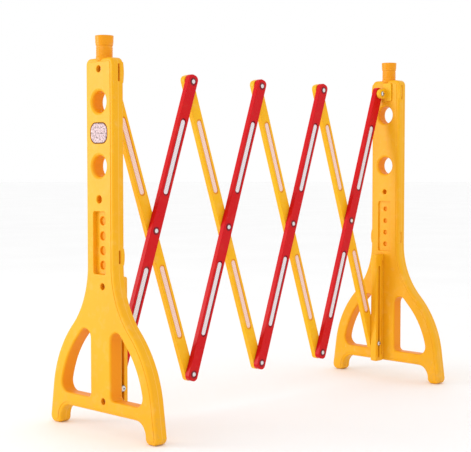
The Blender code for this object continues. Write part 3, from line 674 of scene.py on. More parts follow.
def prism_group():
    """Retroreflective sheeting: a diagonal lattice of fine grey lines over tiny prism cells."""
    tree, value = new_group("Prism Sheeting", {
        "Color": (0.85, 0.8, 0.82, 1.0), "Line Color": (0.35, 0.33, 0.36, 1.0), "Pitch": 0.0042,
        "Line Share": 0.5, "Speckle": 0.0,
    })
    parts = add_node(tree, "ShaderNodeSeparateXYZ", {0: value["Vector"]}).outputs
    lines = None
    cells = None
    for sign in (1.0, -1.0):
        slant = math_node(tree, "MULTIPLY_ADD", parts["X"], sign, parts["Y"])
        turns = math_node(tree, "DIVIDE", slant, value["Pitch"])
        fold = math_node(tree, "PINGPONG", turns, 0.5)
        line = span(tree, fold, 0.13, 0.02)
        lines = line if lines is None else math_node(tree, "MAXIMUM", lines, line)
        small = math_node(tree, "PINGPONG", product(tree, turns, 5.0), 0.5)
        cells = small if cells is None else total(tree, cells, small)
    shade = noise(tree, value["Vector"], 120.0, 3.0)
    base = mix_color(tree, product(tree, cells, 0.16), value["Color"], value["Line Color"])
    base = mix_color(tree, product(tree, span(tree, shade, 0.3, 0.7), 0.12), base, (0.93, 0.86, 0.9, 1.0))
    fleck = span(tree, noise(tree, value["Vector"], 210.0, 4.0, 0.75), 0.49, 0.55)
    base = mix_color(tree, product(tree, fleck, value["Speckle"]), base, value["Line Color"])
    base = mix_color(tree, product(tree, lines, value["Line Share"]), base, value["Line Color"])
    rough = total(tree, span(tree, shade, 0.3, 0.7, 0.16, 0.3), product(tree, lines, 0.2))
    relief = product(tree, math_node(tree, "SUBTRACT", cells, lines), 0.00008)
    return end_group(tree, base, rough, relief)


def plated_group():
    """Zinc-plated steel: turned marks, cloudy plating and a few dull spots."""
    tree, value = new_group("Plated Steel", {
        "Color": (0.62, 0.62, 0.64, 1.0), "Dull Color": (0.3, 0.29, 0.28, 1.0), "Gloss": 0.28,
    })
    cloud = noise(tree, value["Vector"], 260.0, 4.0, 0.6)
    spots = span(tree, noise(tree, value["Vector"], 900.0, 3.0), 0.6, 0.72)
    marks = add_node(tree, "ShaderNodeMapping", {"Vector": value["Vector"], "Scale": (1.0, 8.0, 1.0)})
    brushed = noise(tree, marks.outputs[0], 1500.0, 2.0)
    color = mix_color(tree, product(tree, span(tree, cloud, 0.45, 0.7), 0.3),
                      value["Color"], value["Dull Color"])
    color = mix_color(tree, product(tree, spots, 0.4), color, value["Dull Color"])
    rough = total(tree, value["Gloss"], span(tree, cloud, 0.3, 0.7, -0.06, 0.12))
    return end_group(tree, color, total(tree, rough, product(tree, spots, 0.2)),
                     product(tree, brushed, 0.00003))


# ---- materials ----


def group_of(name, build):
    """The named shader group, built the first time it is asked for."""
    return bpy.data.node_groups.get(name) or build()


def start_material(name):
    """A new material, its nodes and its shader."""
    material = bpy.data.materials.new(name)
    material.use_nodes = True
    return material, material.node_tree, material.node_tree.nodes["Principled BSDF"]


def finish_surface(tree, shader, effect, sockets, color=None):
    """Lead an effect group's results into the material's own shader, and set its plain sockets."""
    tree.links.new(color or effect.outputs["Color"], shader.inputs["Base Color"])
    tree.links.new(effect.outputs["Roughness"], shader.inputs["Roughness"])
    relief = {"Height": effect.outputs["Height"], "Strength": 1.0, "Distance": 1.0}
    bump = add_node(tree, "ShaderNodeBump", relief)
    tree.links.new(bump.outputs["Normal"], shader.inputs["Normal"])
    for key, value in sockets.items():
        shader.inputs[key].default_value = value


def moulded_material(name, color, drift, share=0.18, gloss=0.36, scuffs=0.35, dust=0.4, grain=0.5,
                     deep=None, seam=False, shine=0.16, bloom=0.07):
    """Moulded plastic. deep is the colour reached inside holes, a painted shade that darkens the further in;
    seam draws the mould's parting line.
    """
    if name in bpy.data.materials:
        return bpy.data.materials[name]
    material, tree, shader = start_material(name)
    place = add_node(tree, "ShaderNodeTexCoord").outputs["Object"]
    effect = add_node(tree, "ShaderNodeGroup", {
        "Vector": place, "Color": (*color, 1.0), "Drift": (*drift, 1.0), "Drift Share": share,
        "Gloss": gloss, "Scuffs": scuffs, "Dust": dust, "Grain": grain, "Bloom": bloom,
    }, node_tree=group_of("Moulded Plastic", moulded_group))
    surface = effect.outputs["Color"]
    if deep or seam:
        across = add_node(tree, "ShaderNodeSeparateXYZ", {0: place}).outputs["X"]
        from_post = math_node(tree, "SUBTRACT", math_node(tree, "ABSOLUTE", across), POST_X)
        from_middle = math_node(tree, "ABSOLUTE", from_post)
    # Painted shade: the colour turns towards the darker hole colour the deeper a point lies inside the post's
    # holes and openings.
    if deep:
        hole_shade_mask = span(tree, from_middle, HALF_POST - 0.0001, HALF_POST - 0.0068)
        surface = mix_color(tree, product(tree, hole_shade_mask, 0.9), surface, (*deep, 1.0))
    if seam:
        line = span(tree, from_middle, 0.0011, 0.0003)
        surface = mix_color(tree, product(tree, line, 0.22), surface, (1.0, 0.72, 0.3, 1.0))
    finish_surface(tree, shader, effect, {"Specular IOR Level": shine}, surface)
    return material


def prism_material(name, color, line, pitch, share, speckle, mapped):
    """Prism sheeting, laid along a mapped strip or across a post's face."""
    if name in bpy.data.materials:
        return bpy.data.materials[name]
    material, tree, shader = start_material(name)
    if mapped:
        place = add_node(tree, "ShaderNodeUVMap", None, uv_map="along").outputs["UV"]
    else:
        parts = add_node(tree, "ShaderNodeSeparateXYZ",
                         {0: add_node(tree, "ShaderNodeTexCoord").outputs["Object"]}).outputs
        place = add_node(tree, "ShaderNodeCombineXYZ", {0: parts["Y"], 1: parts["Z"]}).outputs[0]
    effect = add_node(tree, "ShaderNodeGroup", {
        "Vector": place, "Color": (*color, 1.0), "Line Color": (*line, 1.0), "Pitch": pitch,
        "Line Share": share, "Speckle": speckle,
    }, node_tree=group_of("Prism Sheeting", prism_group))
    finish_surface(tree, shader, effect,
                   {"Specular IOR Level": 0.3, "Coat Weight": 0.25, "Coat Roughness": 0.12})
    return material


def plated_material(name, color, gloss):
    if name in bpy.data.materials:
        return bpy.data.materials[name]
    material, tree, shader = start_material(name)
    place = add_node(tree, "ShaderNodeTexCoord").outputs["Object"]
    effect = add_node(tree, "ShaderNodeGroup", {
        "Vector": place, "Color": (*color, 1.0), "Gloss": gloss,
    }, node_tree=group_of("Plated Steel", plated_group))
    finish_surface(tree, shader, effect, {"Metallic": 1.0})
    return material


def post_material():
    finish = bpy.context.scene.barrier_finish
    return moulded_material("post_plastic", finish.post_color, finish.hole_shade_and_drift_color, seam=True)


# Painted shade: the walls of holes, openings and sunk holes darken towards the hole colour deeper inside.
def hole_shade_material():
    finish = bpy.context.scene.barrier_finish
    return moulded_material("post_hollows", finish.post_color, finish.hole_shade_and_drift_color, share=0.3,
                            deep=finish.hole_shade_and_drift_color, gloss=0.42)


def fitting_material():
    finish = bpy.context.scene.barrier_finish
    return moulded_material("fitting_plastic", finish.yellow_color, finish.hole_shade_and_drift_color, share=0.3,
                            gloss=0.4, grain=0.8)


def cap_material():
    finish = bpy.context.scene.barrier_finish
    return moulded_material("cap_plastic", finish.cap_color, finish.hole_shade_and_drift_color, share=0.25, gloss=0.33,
                            dust=0.0)


def slat_material(color):
    finish = bpy.context.scene.barrier_finish
    if color == "red":
        return moulded_material("slat_red_plastic", finish.red_color, (0.55, 0.004, 0.02), share=0.3,
                                gloss=0.3, scuffs=0.15, dust=0.15, shine=0.12, bloom=0.012)
    return moulded_material("slat_yellow_plastic", finish.yellow_color, finish.hole_shade_and_drift_color, share=0.2,
                            gloss=0.3, scuffs=0.3, dust=0.15, shine=0.12)


# Painted shade: the pockets, pivot seats and pin holes are cut in a darker copy of each slat colour that
# stands for the shade inside them.
def pocket_shade_material(color):
    if color == "red":
        return moulded_material("pocket_red_plastic", (0.30, 0.003, 0.014), (0.18, 0.002, 0.012),
                                share=0.4, gloss=0.45, dust=0.0)
    return moulded_material("pocket_yellow_plastic", (0.82, 0.33, 0.012), (0.68, 0.22, 0.006),
                            share=0.4, gloss=0.45, dust=0.0)


def reflector_material():
    return prism_material("reflector_prisms", (0.70, 0.46, 0.48), (0.06, 0.012, 0.012), 0.0062, 0.2, 0.85,
                          False)


def tape_material(color):
    tints = {"red": bpy.context.scene.barrier_finish.tape_color, "yellow": (0.93, 0.67, 0.57)}
    lines = {"red": (0.42, 0.36, 0.39), "yellow": (0.66, 0.34, 0.20)}
    return prism_material(f"{color}_tape_sheeting", tints[color], lines[color], 0.0072, 0.62, 0.0, True)


# Painted shade: the bezel's dark brown stands for the shadow along the reflector's sunk rim.
def reflector_rim_shade_material():
    return moulded_material("reflector_bezel_plastic", (0.20, 0.06, 0.015), (0.08, 0.02, 0.01), share=0.5,
                            dust=0.0)


def steel_material():
    return plated_material("zinc_plated_steel", (0.74, 0.74, 0.76), 0.26)


# Painted shade: a dark steel for the washers' ring around each head, and for the sockets, drive slots and nut
# bores, where shade falls.
def shade_steel_material():
    return plated_material("dark_steel", (0.20, 0.19, 0.19), 0.42)


# ---- pieces ----


def post_plate():
    """The A-frame plate: rounded rim, a step up to each raised face, and the strap humps."""
    settings = bpy.context.scene.barrier_post
    panel = HALF_POST - settings.lip_height
    rim = settings.rim_radius
    lip = rim + settings.lip_width
    step = [(HALF_POST, lip + 0.0014), (HALF_POST - 0.0003, lip + 0.0008), (panel + 0.0003, lip + 0.0003)]
    step.append((panel + 0.0001, lip))
    profile = [(-level, inset) for level, inset in step] + round_rim(-panel, panel, rim, 7) + step[::-1]
    body = add_loft(bmesh.new(), post_outline(settings.arc_steps), profile)
    humps = bmesh.new()
    for low, high in LOOP_Z:
        for side in (-1, 1):
            add_loft(humps, strap_hump(side, low, high), round_rim(*LOOP_X, LOOP_EDGE))
    return body, humps


def post_openings():
    """Cutters for the leg openings, hand holes, reflector seat and strap slots."""
    cuts = bmesh.new()
    for side in (-1, 1):
        outline = leg_opening(side, bpy.context.scene.barrier_post.arc_steps)
        add_loft(cuts, outline, flared_mouth(-HALF_POST, HALF_POST, OPENING_FLARE))
    for z in BIG_HOLE_Z:
        mouth = flared_mouth(-HALF_POST, HALF_POST, BIG_HOLE_FLARE, steps=8)
        add_loft(cuts, circle((0.0, z), BIG_HOLE_RADIUS, 60), mouth)
    half = [side + REFLECTOR_CLEARANCE for side in REFLECTOR_HALF]
    seat = rounded_rectangle(*around((0.0, REFLECTOR_Z), half), REFLECTOR_CORNER, 10)
    floor = REFLECTOR_SEAT - HALF_POST
    add_loft(cuts, seat, flared_mouth(-HALF_POST, floor, REFLECTOR_FLARE, (True, False), 4))
    face, root = COLUMN_HALF_WIDTH, COLUMN_HALF_WIDTH - LOOP_DEEP
    for low, high in LOOP_Z:
        slot = stadium((LOOP_SLOT_X[0], low + LOOP_CORNER), (LOOP_SLOT_X[1], high - LOOP_CORNER), 6)
        add_loft(cuts, slot, flared_mouth(-face, -root, LOOP_FLARE, (True, False), 3), "Y")
        add_loft(cuts, slot, flared_mouth(root, face, LOOP_FLARE, (False, True), 3), "Y")
    return cuts


def post_recesses():
    """Cutters for the long recess in each face."""
    cuts = bmesh.new()
    outline = rounded_rectangle(
        (-RECESS_HALF_WIDTH, RECESS_Z[0]), (RECESS_HALF_WIDTH, RECESS_Z[1]), RECESS_CORNER)
    outer_floor = RECESS_DEPTH["outer"] - HALF_POST
    inner_floor = HALF_POST - RECESS_DEPTH["inner"]
    add_loft(cuts, outline, flared_mouth(-HALF_POST, outer_floor, RECESS_FLARE, (True, False), 4))
    add_loft(cuts, outline, flared_mouth(inner_floor, HALF_POST, RECESS_FLARE, (False, True), 4))
    return cuts


def post_bores(side):
    """Cutters for the blind round holes and the screws' sunk holes."""
    cuts = bmesh.new()
    for where, sign in (("outer", -1), ("inner", 1)):
        is_open = (sign < 0, sign > 0)
        floor = HALF_POST - RECESS_DEPTH[where]
        ends = sorted((sign * floor, sign * (floor - RECESS_HOLE_DEPTH)))
        for z in RECESS_HOLE_Z:
            hole = circle((0.0, z), RECESS_HOLE_RADIUS[where])
            add_loft(cuts, hole, flared_mouth(*ends, RECESS_HOLE_FLARE, is_open, 4))
        ends = sorted((sign * HALF_POST, sign * (HALF_POST - SMALL_HOLE_DEPTH)))
        hole = circle((0.0, SMALL_HOLE_Z), SMALL_HOLE_RADIUS[where])
        add_loft(cuts, hole, flared_mouth(*ends, SMALL_HOLE_FLARE, is_open, 4))
    sink = flared_mouth(-HALF_POST, SCREW_SINK_DEPTH - HALF_POST, SCREW_SINK_FLARE, (True, False), 4)
    for kind in SCREWS:
        _, y, z = middle_of(f"{side}_{kind}")
        add_loft(cuts, circle((y, z), SCREW_SINK_RADIUS), sink)
    return cuts


def post_shell(side):
    """An A-frame with a stepped lip along its rim and soft mouths at every opening."""
    body, humps = post_plate()
    cuts = [(post_openings(), hole_shade_material()), (post_recesses(), post_material())]
    cuts.append((post_bores(side), hole_shade_material()))
    frame_piece(side, "post_shell", body, post_material(), ["post"],
                [(humps, post_material())], cuts)


def post_neck(side):
    """The threaded neck that rises from the shoulder, with its root bulging from both faces."""
    root = SHOULDER_Z - 0.0085
    bulge = NECK_RADIUS + 0.0006
    profile = [(0.0, root), (0.0150, root), (0.0192, root + 0.0016), (bulge - 0.0003, root + 0.0048)]
    profile += [(bulge, root + 0.0080), (bulge, SHOULDER_Z + 0.0012), (NECK_RADIUS, SHOULDER_Z + 0.0026)]
    z = SHOULDER_Z + 0.0040
    while z < CAP_BOTTOM_Z - 0.003:
        profile += [(NECK_RADIUS + swell, z + rise) for swell, rise in NECK_RING]
        z += NECK_RING_PITCH
    profile += [(NECK_RADIUS - 0.0006, CAP_BOTTOM_Z - 0.0002), (NECK_INSIDE, CAP_BOTTOM_Z)]
    profile += [(NECK_INSIDE, CAP_BOTTOM_Z + 0.013), (0.0, CAP_BOTTOM_Z + 0.013)]
    bm = add_turned(bmesh.new(), profile, steps=72)
    frame_piece(side, "neck", bm, cap_material())


def post_cap(side):
    """A screw cap, a little wider at its top, with a rolled lip, a groove and a shallow dish on top."""
    bottom, top = CAP_BOTTOM_Z, CAP_BOX[1].z
    radius = 0.5 * (CAP_BOX[1].x - CAP_BOX[0].x)
    profile = [(0.0, top - 0.008), (0.0178, top - 0.008), (0.0178, bottom + 0.0006), (0.0184, bottom)]
    profile += [(0.0202, bottom), (0.0208, bottom + 0.0006), (0.0210, bottom + 0.0040)]
    profile += [(0.0212, bottom + 0.0052), (0.0212, bottom + 0.0058), (0.0217, bottom + 0.0064)]
    profile += [(radius - 0.0002, top - 0.0050), (radius, top - 0.0030)]
    profile += arc((radius - 0.0013, top - 0.0013), 0.0013, 0.0, 90.0, 5)
    profile += [(0.0160, top), (0.0152, top - 0.0003), (0.0144, top - 0.0010), (0.0134, top - 0.0012)]
    profile += [(0.0, top - 0.0012)]
    bm = add_turned(bmesh.new(), profile, steps=72)
    make_piece(f"{side}_cap_shell", bm, f"{side}_cap", cap_material(), [f"{side}_cap"],
               post_place(side))


def reflector_panel(side):
    """A rounded reflector: a dark bezel, its dark colour a painted shade along the rim, with a prism face let
    into it.
    """
    back = REFLECTOR_SEAT - HALF_POST - GAP
    front = -HALF_POST - 0.0002
    outline = rounded_rectangle(*around((0.0, REFLECTOR_Z), REFLECTOR_HALF), REFLECTOR_CORNER, 12)
    bezel = add_loft(bmesh.new(), outline, round_rim(front, back, BEZEL_EDGE, 4))
    well = add_loft(bmesh.new(), outline, [(front - PAST, BEZEL_WIDTH), (front + 0.0011, BEZEL_WIDTH)])
    frame_piece(side, "reflector_bezel", bezel, reflector_rim_shade_material(),
                ["reflector"], cuts=[(well, reflector_rim_shade_material())])
    rim = [(level, inset + BEZEL_WIDTH + 0.0002)
           for level, inset in round_rim(front + 0.0002, front + 0.0010, 0.0003, 3)]
    lens = add_loft(bmesh.new(), outline, rim)
    frame_piece(side, "reflector_lens", lens, reflector_material())


def slide_rail(side):
    """The slotted rail, with softened rims and a shallow groove beside the slot."""
    low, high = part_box(f"{side}_slide_rail")
    near = HALF_POST + GAP
    far = near + high.x - low.x
    outline = rounded_rectangle((near, low.z), (far, high.z), RAIL_CORNER)
    bm = add_loft(bmesh.new(), outline, round_rim(low.y, high.y, RAIL_EDGE), "Y")
    cuts = bmesh.new()
    slot = stadium((PIN_OFFSET - PIN_HOLE_RADIUS, low.z + RAIL_SLOT_ENDS[0]),
                   (PIN_OFFSET + PIN_HOLE_RADIUS, high.z - RAIL_SLOT_ENDS[1]), 10)
    add_loft(cuts, slot, flared_mouth(low.y, high.y, GROOVE_FLARE, steps=4), "Y")
    groove = stadium((near + GROOVE_X[0], low.z + GROOVE_END), (near + GROOVE_X[1], high.z - GROOVE_END), 8)
    front, back = low.y + GROOVE_DEPTH, high.y - GROOVE_DEPTH
    add_loft(cuts, groove, flared_mouth(low.y, front, GROOVE_FLARE, (True, False), 4), "Y")
    add_loft(cuts, groove, flared_mouth(back, high.y, GROOVE_FLARE, (False, True), 4), "Y")
    frame_piece(side, "slide_rail_bar", bm, fitting_material(), ["slide_rail"],
                cuts=[(cuts, hole_shade_material())])


def top_bracket(side):
    """A flanged lug with a round boss at its pin."""
    low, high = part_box(f"{side}_top_bracket")
    near = HALF_POST + GAP
    lug_front = LUG_FRONT_Y[side]
    boss_front = lug_front - LUG_BOSS_HEIGHT
    center = (PIN_OFFSET, 0.0, TOP_PIN.z)
    bm = add_loft(bmesh.new(), lug_outline(near), round_rim(lug_front, high.y, LUG_EDGE), "Y")
    flange = add_loft(bmesh.new(), rounded_rectangle((low.y, low.z), (high.y, high.z), FLANGE_CORNER),
                      round_rim(near, near + FLANGE_THICKNESS, FLANGE_EDGE))
    rim = [(LUG_BOSS_RADIUS, lug_front + 0.003), (LUG_BOSS_RADIUS, boss_front + 0.0008)]
    rim += [(LUG_BOSS_RADIUS - 0.0003, boss_front + 0.0002), (LUG_BOSS_RADIUS - 0.0009, boss_front)]
    boss = add_turned(bmesh.new(), [(0.0, lug_front + 0.003), *rim, (0.0, boss_front)], "Y", center)
    hole = add_turned(bmesh.new(), rod(PIN_HOLE_RADIUS, boss_front - PAST, high.y + PAST), "Y", center, 32)
    frame_piece(side, "top_bracket_lug", bm, fitting_material(), ["top_bracket"],
                [(flange, fitting_material()), (boss, fitting_material())], [(hole, hole_shade_material())])


def slat(color, cell):
    """A slat with rounded edges, two tape pockets in its face and a shallow seat at each pivot."""
    edge = bpy.context.scene.barrier_lattice.edge_radius
    front, back = RED_Y if color == "red" else YELLOW_Y
    half = (SLAT_HALF_WIDTH, 0.5 * PIVOT_SPAN + SLAT_END)
    outline = rounded_rectangle(*around((0.0, 0.0), half), SLAT_CORNER, 10)
    bm = add_loft(bmesh.new(), outline, round_rim(front, back, edge, 4), "Y")
    cuts = bmesh.new()
    for end in (-1, 1):
        low, high = sorted(end * (POCKET_START + reach) for reach in (0.0, POCKET_LENGTH))
        pocket = stadium((-POCKET_HALF_WIDTH, low), (POCKET_HALF_WIDTH, high))
        add_loft(cuts, pocket, flared_mouth(front, front + POCKET_DEPTH, 0.0007, (True, False), 3), "Y")
        add_loft(cuts, pocket, flared_mouth(back - 0.0010, back, 0.0005, (False, True), 2), "Y")
    rim, step = PIVOT_SEAT_RADIUS, PIVOT_SEAT_RADIUS - PIVOT_SEAT_SLOPE
    near, far = front + PIVOT_SEAT_DEPTH, back - PIVOT_SEAT_DEPTH
    for end in (-1, 0, 1):
        seat = [(0.0, front - PAST), (rim, front - PAST), (rim, front + 0.00015), (step, near)]
        seat += [(PIN_HOLE_RADIUS, near), (PIN_HOLE_RADIUS, far), (step, far)]
        seat += [(rim, back - 0.00015), (rim, back + PAST), (0.0, back + PAST)]
        add_turned(cuts, seat, "Y", (0.0, 0.0, end * 0.5 * PIVOT_SPAN), 40)
    # The cut faces take the darker pocket colour, a painted shade.
    make_piece(f"{color}_slat_{cell}_body", bm, f"{color}_arm_{cell}",
               slat_material(color), [f"{color}_slat_{cell}"], slat_place(color, cell),
               cuts=[(cuts, pocket_shade_material(color))])


def tape_strip(color, cell, where):
    """A strip of prism sheeting on a pocket's floor."""
    thickness = bpy.context.scene.barrier_lattice.tape_thickness
    back = (RED_Y if color == "red" else YELLOW_Y)[0] + POCKET_DEPTH
    middle = (1 if where == "upper" else -1) * (POCKET_START + 0.5 * POCKET_LENGTH)
    outline = stadium(*around((0.0, middle), (TAPE_HALF_WIDTH, 0.5 * TAPE_LENGTH)))
    bm = add_loft(bmesh.new(), outline, round_rim(back - thickness, back, 0.00025, 2), "Y")
    lay_along(bm)
    make_piece(f"{color}_tape_{where}_{cell}_strip", bm, f"{color}_arm_{cell}",
               tape_material(color), [f"{color}_tape_{where}_{cell}"], slat_place(color, cell))


def domed(radius, face, height, sign):
    """A domed head's profile from its rim at a face out to its dimpled crown on the axis."""
    shares = ((1.0, 0.0), (1.0, 0.18), (0.97, 0.34), (0.86, 0.58), (0.68, 0.80), (0.42, 0.95),
              (0.20, 1.0), (0.16, 0.90), (0.0, 0.86))
    return [(across * radius, face + sign * up * height) for across, up in shares]


def rivet(name, body, x, z):
    """A tubular rivet through both layers, with a domed head and a washer on each side."""
    front, back = RED_Y[0] + 0.0001, YELLOW_Y[1] - 0.0001
    near, far = front - WASHER_THICKNESS, back + WASHER_THICKNESS
    profile = domed(RIVET_HEAD_RADIUS, near, RIVET_DOME_HEIGHT, -1)[::-1]
    profile += [(PIN_RADIUS, near), (PIN_RADIUS, far)]
    profile += domed(RIVET_HEAD_RADIUS, far, RIVET_DOME_HEIGHT, 1)
    bm = add_turned(bmesh.new(), profile, "Y", (x, 0.0, z))
    make_piece(f"{name}_head", bm, body, steel_material(), [name])
    for side, face, sign in (("front", front, -1), ("rear", back, 1)):
        washer(f"{name}_{side}_washer", body, RIVET_WASHER_RADIUS, (x, face, z), sign)


def washer(name, body, outer, place, sign):
    """A flat ring with eased edges that rises from its place along Y, to the side of sign."""
    inner = 0.5 * (PIN_RADIUS + PIN_HOLE_RADIUS)
    thick = WASHER_THICKNESS
    ring = [(inner, 0.0), (outer - 0.0002, 0.0), (outer, 0.0002), (outer, thick - 0.0003),
            (outer - 0.0003, thick), (inner, thick)]
    bm = add_turned(bmesh.new(), [(r, sign * h) for r, h in ring], "Y", place, ring=True)
    # The washer takes the dark steel, a painted shade ring around the head.
    make_piece(name, bm, body, shade_steel_material())


def headed_pin(name, body, washer_front):
    """A bolt with a domed head and a hexagon socket, on a washer."""
    low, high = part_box(name)
    x, _, z = middle_of(name)
    seat = low.y + PIN_HEAD_HEIGHT
    end = high.y
    profile = [(0.0, low.y), (0.45 * PIN_HEAD_RADIUS, low.y), (0.72 * PIN_HEAD_RADIUS, low.y + 0.0004)]
    profile += [(0.92 * PIN_HEAD_RADIUS, low.y + 0.0012), (PIN_HEAD_RADIUS, low.y + 0.0022)]
    profile += [(PIN_HEAD_RADIUS, seat), (PIN_RADIUS, seat), (PIN_RADIUS, end - 0.0012)]
    profile += [(PIN_RADIUS - 0.0008, end), (0.0, end)]
    bm = add_turned(bmesh.new(), profile, "Y", (x, 0.0, z))
    socket = add_hexagon(bmesh.new(), (x, z), SOCKET_RADIUS, low.y - PAST, low.y + 0.0019, 0.0003)
    make_piece(f"{name}_bolt", bm, body, steel_material(), [name],
               cuts=[(socket, shade_steel_material())])
    washer(f"{name}_washer", body, PIN_WASHER_RADIUS, (x, washer_front, z), -1)


def locking_nut(name, body):
    """A hexagon nut with eased corners and a rolled collar."""
    x, _, z = middle_of(name)
    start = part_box(name)[0].y
    hexagon = add_hexagon(bmesh.new(), (x, z), NUT_RADIUS, start, start + 0.72 * NUT_HEIGHT, 0.0004)
    collar_radius = 0.78 * NUT_RADIUS
    profile = [(0.0, start + 0.001), (collar_radius, start + 0.001)]
    profile += [(collar_radius, start + 0.86 * NUT_HEIGHT), (collar_radius - 0.0006, start + NUT_HEIGHT)]
    collar = add_turned(bmesh.new(), [*profile, (0.0, start + NUT_HEIGHT)], "Y", (x, 0.0, z))
    through = rod(PIN_RADIUS + 0.0002, start - PAST, start + NUT_HEIGHT + PAST)
    bore = add_turned(bmesh.new(), through, "Y", (x, 0.0, z), 32)
    make_piece(f"{name}_hex", hexagon, body, steel_material(), [name],
               joins=[(collar, steel_material())], cuts=[(bore, shade_steel_material())])


def sunk_screw(side, kind):
    """A pan-head screw with a crossed drive, deep in its sunk hole."""
    low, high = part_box(f"{side}_{kind}")
    _, y, z = middle_of(f"{side}_{kind}")
    radius = 0.5 * (high.y - low.y)
    crown = SCREW_SINK_DEPTH - HALF_POST - GAP - SCREW_HEAD_HEIGHT
    seat = crown + SCREW_HEAD_HEIGHT
    tip = crown + high.x - low.x
    profile = [(0.0, crown), (0.45 * radius, crown + 0.0001), (0.78 * radius, crown + 0.0007)]
    profile += [(0.95 * radius, crown + 0.0016), (radius, crown + 0.0026), (radius, seat)]
    profile += [(SCREW_RADIUS, seat), (SCREW_RADIUS, tip - 0.002), (0.0006, tip), (0.0, tip)]
    bm = add_turned(bmesh.new(), profile, "X", (0.0, y, z))
    drive = []
    for half in (DRIVE_HALF, DRIVE_HALF[::-1]):
        outline = rounded_rectangle(*around((y, z), half), 0.0003, 2)
        slot = add_loft(bmesh.new(), outline, [(crown - PAST, 0.0), (crown + 0.0018, 0.0)])
        drive.append((slot, shade_steel_material()))
    frame_piece(side, f"{kind}_head", bm, steel_material(), [kind], cuts=drive)


# ---- operators ----


class BARRIER_OT_posts(bpy.types.Operator):
    """Model both A-frame posts with their necks"""

    bl_idname = "barrier.posts"
    bl_label = "Posts"

    def execute(self, context):
        for side in INNER:
            post_shell(side)
            post_neck(side)
        return {"FINISHED"}


class BARRIER_OT_caps(bpy.types.Operator):
    """Model the screw caps"""

    bl_idname = "barrier.caps"
    bl_label = "Caps"

    def execute(self, context):
        for side in INNER:
            post_cap(side)
        return {"FINISHED"}


class BARRIER_OT_reflectors(bpy.types.Operator):
    """Model the reflector panels on the posts"""

    bl_idname = "barrier.reflectors"
    bl_label = "Reflectors"

    def execute(self, context):
        for side in INNER:
            reflector_panel(side)
        return {"FINISHED"}


class BARRIER_OT_rails(bpy.types.Operator):
    """Model the slide rails and the top brackets"""

    bl_idname = "barrier.rails"
    bl_label = "Rails and Brackets"

    def execute(self, context):
        for side in INNER:
            slide_rail(side)
            top_bracket(side)
        return {"FINISHED"}


class BARRIER_OT_slats(bpy.types.Operator):
    """Model the red and yellow slats"""

    bl_idname = "barrier.slats"
    bl_label = "Slats"

    def execute(self, context):
        for cell in range(1, CELLS + 1):
            for color in ("red", "yellow"):
                slat(color, cell)
        return {"FINISHED"}


class BARRIER_OT_tapes(bpy.types.Operator):
    """Model the reflective strips in the slats' pockets"""

    bl_idname = "barrier.tapes"
    bl_label = "Reflective Strips"

    def execute(self, context):
        for cell in range(1, CELLS + 1):
            for color in ("red", "yellow"):
                for where in ("upper", "lower"):
                    tape_strip(color, cell, where)
        return {"FINISHED"}


class BARRIER_OT_rivets(bpy.types.Operator):
    """Model the rivets that join the slats, with their washers"""

    bl_idname = "barrier.rivets"
    bl_label = "Rivets"

    def execute(self, context):
        top = TOP_PIN.z
        for cell in range(1, CELLS + 1):
            left = TOP_PIN.x + (cell - 1) * CELL_WIDTH
            rivet(f"middle_rivet_{cell}", f"yellow_arm_{cell}", left + 0.5 * CELL_WIDTH,
                  top - 0.5 * CELL_HEIGHT)
            if cell < CELLS:
                rivet(f"bottom_rivet_{cell}", f"yellow_arm_{cell}", left + CELL_WIDTH, top - CELL_HEIGHT)
                rivet(f"top_rivet_{cell}", f"red_arm_{cell}", left + CELL_WIDTH, top)
        return {"FINISHED"}


class BARRIER_OT_fasteners(bpy.types.Operator):
    """Model the pins, nuts and screws of the brackets and rails"""

    bl_idname = "barrier.fasteners"
    bl_label = "Pins, Nuts and Screws"

    def execute(self, context):
        for side in INNER:
            arm = "red_arm_1" if side == "left" else f"yellow_arm_{CELLS}"
            boss_front = LUG_FRONT_Y[side] - LUG_BOSS_HEIGHT
            headed_pin(f"{side}_top_pin", f"{side}_frame", boss_front + 0.0002)
            headed_pin(f"{side}_slider_pin", arm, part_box(f"{side}_slide_rail")[0].y + 0.0002)
            locking_nut(f"{side}_top_nut", f"{side}_frame")
            locking_nut(f"{side}_slider_nut", arm)
            for kind in SCREWS:
                sunk_screw(side, kind)
        return {"FINISHED"}


class BARRIER_OT_stage(bpy.types.Operator):
    """Set up the floor, the soft lights and the camera"""

    bl_idname = "barrier.stage"
    bl_label = "Stage"

    def execute(self, context):
        scene = context.scene
        settings = scene.barrier_stage
        bm = bmesh.new()
        bmesh.ops.create_circle(bm, cap_ends=True, segments=96, radius=40.0)
        bmesh.ops.translate(bm, verts=bm.verts, vec=(0.0, 0.0, FLOOR_Z - 0.0005))
        floor = as_object("floor", bm, [floor_material()], Matrix())
        add_soft_light("key", (-3.3, 2.6, 1.0), (-0.4, 0.0, 0.5), 1.7, settings.key_power)
        add_soft_light("fill", (-1.2, -3.6, 3.0), (0.0, 0.0, 0.4), 2.4, settings.fill_power)
        world = bpy.data.worlds.new("white surround")
        world.use_nodes = True
        surround = world.node_tree.nodes["Background"]
        surround.inputs["Color"].default_value = (1.0, 1.0, 1.0, 1.0)
        surround.inputs["Strength"].default_value = settings.sky_strength
        scene.world = world
        scene.view_settings.view_transform = "Standard"
        lens = bpy.data.cameras.new("camera")
        lens.lens = settings.camera_lens
        lens.sensor_fit = "HORIZONTAL"
        lens.sensor_width = 36.0
        lens.clip_end = 200.0
        camera = bpy.data.objects.new("camera", lens)
        camera.location = settings.camera_place
        camera.rotation_euler = (math.radians(90.0) - settings.camera_pitch, 0.0, settings.camera_turn)
        scene.collection.objects.link(camera)
        scene.camera = camera
        return {"FINISHED"}


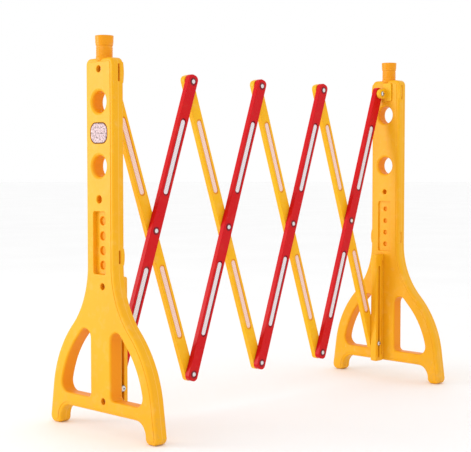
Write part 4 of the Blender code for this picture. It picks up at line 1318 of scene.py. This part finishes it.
def floor_material():
    """A pale, faintly mottled studio floor."""
    material, tree, shader = start_material("pale_floor")
    place = add_node(tree, "ShaderNodeTexCoord").outputs["Object"]
    tone = noise(tree, place, 1.4, 3.0)
    color = mix_color(tree, span(tree, tone, 0.3, 0.7), (0.96, 0.96, 0.96, 1.0), (0.98, 0.98, 0.98, 1.0))
    tree.links.new(color, shader.inputs["Base Color"])
    shader.inputs["Roughness"].default_value = 0.7
    return material


def add_soft_light(name, place, aim, size, power):
    """A square soft light turned towards a point."""
    light = bpy.data.lights.new(name, "AREA")
    light.shape = "SQUARE"
    light.size = size
    light.energy = power
    item = bpy.data.objects.new(name, light)
    item.location = place
    item.rotation_euler = (Vector(aim) - Vector(place)).to_track_quat("-Z", "Y").to_euler()
    bpy.context.scene.collection.objects.link(item)


STEPS = ("stage", "posts", "caps", "reflectors", "rails", "slats", "tapes", "rivets", "fasteners")


class BARRIER_PT_panel(bpy.types.Panel):
    bl_idname = "BARRIER_PT_panel"
    bl_label = "Expanding Barrier"
    bl_space_type = "VIEW_3D"
    bl_region_type = "UI"
    bl_category = "Barrier"

    def draw(self, context):
        layout = self.layout
        for step in STEPS:
            layout.operator(f"barrier.{step}")
        for group in ("barrier_post", "barrier_lattice", "barrier_finish", "barrier_stage"):
            settings = getattr(context.scene, group)
            column = layout.column(align=True)
            for name in settings.__annotations__:
                column.prop(settings, name)


SETTINGS = {
    "barrier_post": BARRIER_PG_post,
    "barrier_lattice": BARRIER_PG_lattice,
    "barrier_finish": BARRIER_PG_finish,
    "barrier_stage": BARRIER_PG_stage,
}
CLASSES = (
    *SETTINGS.values(),
    BARRIER_OT_stage, BARRIER_OT_posts, BARRIER_OT_caps, BARRIER_OT_reflectors, BARRIER_OT_rails,
    BARRIER_OT_slats, BARRIER_OT_tapes, BARRIER_OT_rivets, BARRIER_OT_fasteners, BARRIER_PT_panel,
)


def register():
    for item in CLASSES:
        bpy.utils.register_class(item)
    for name, group in SETTINGS.items():
        setattr(bpy.types.Scene, name, PointerProperty(type=group))


def unregister():
    for name in SETTINGS:
        delattr(bpy.types.Scene, name)
    for item in reversed(CLASSES):
        bpy.utils.unregister_class(item)


def main():
    register()
    for step in STEPS:
        getattr(bpy.ops.barrier, step)()


if __name__ == "__main__":
    main()
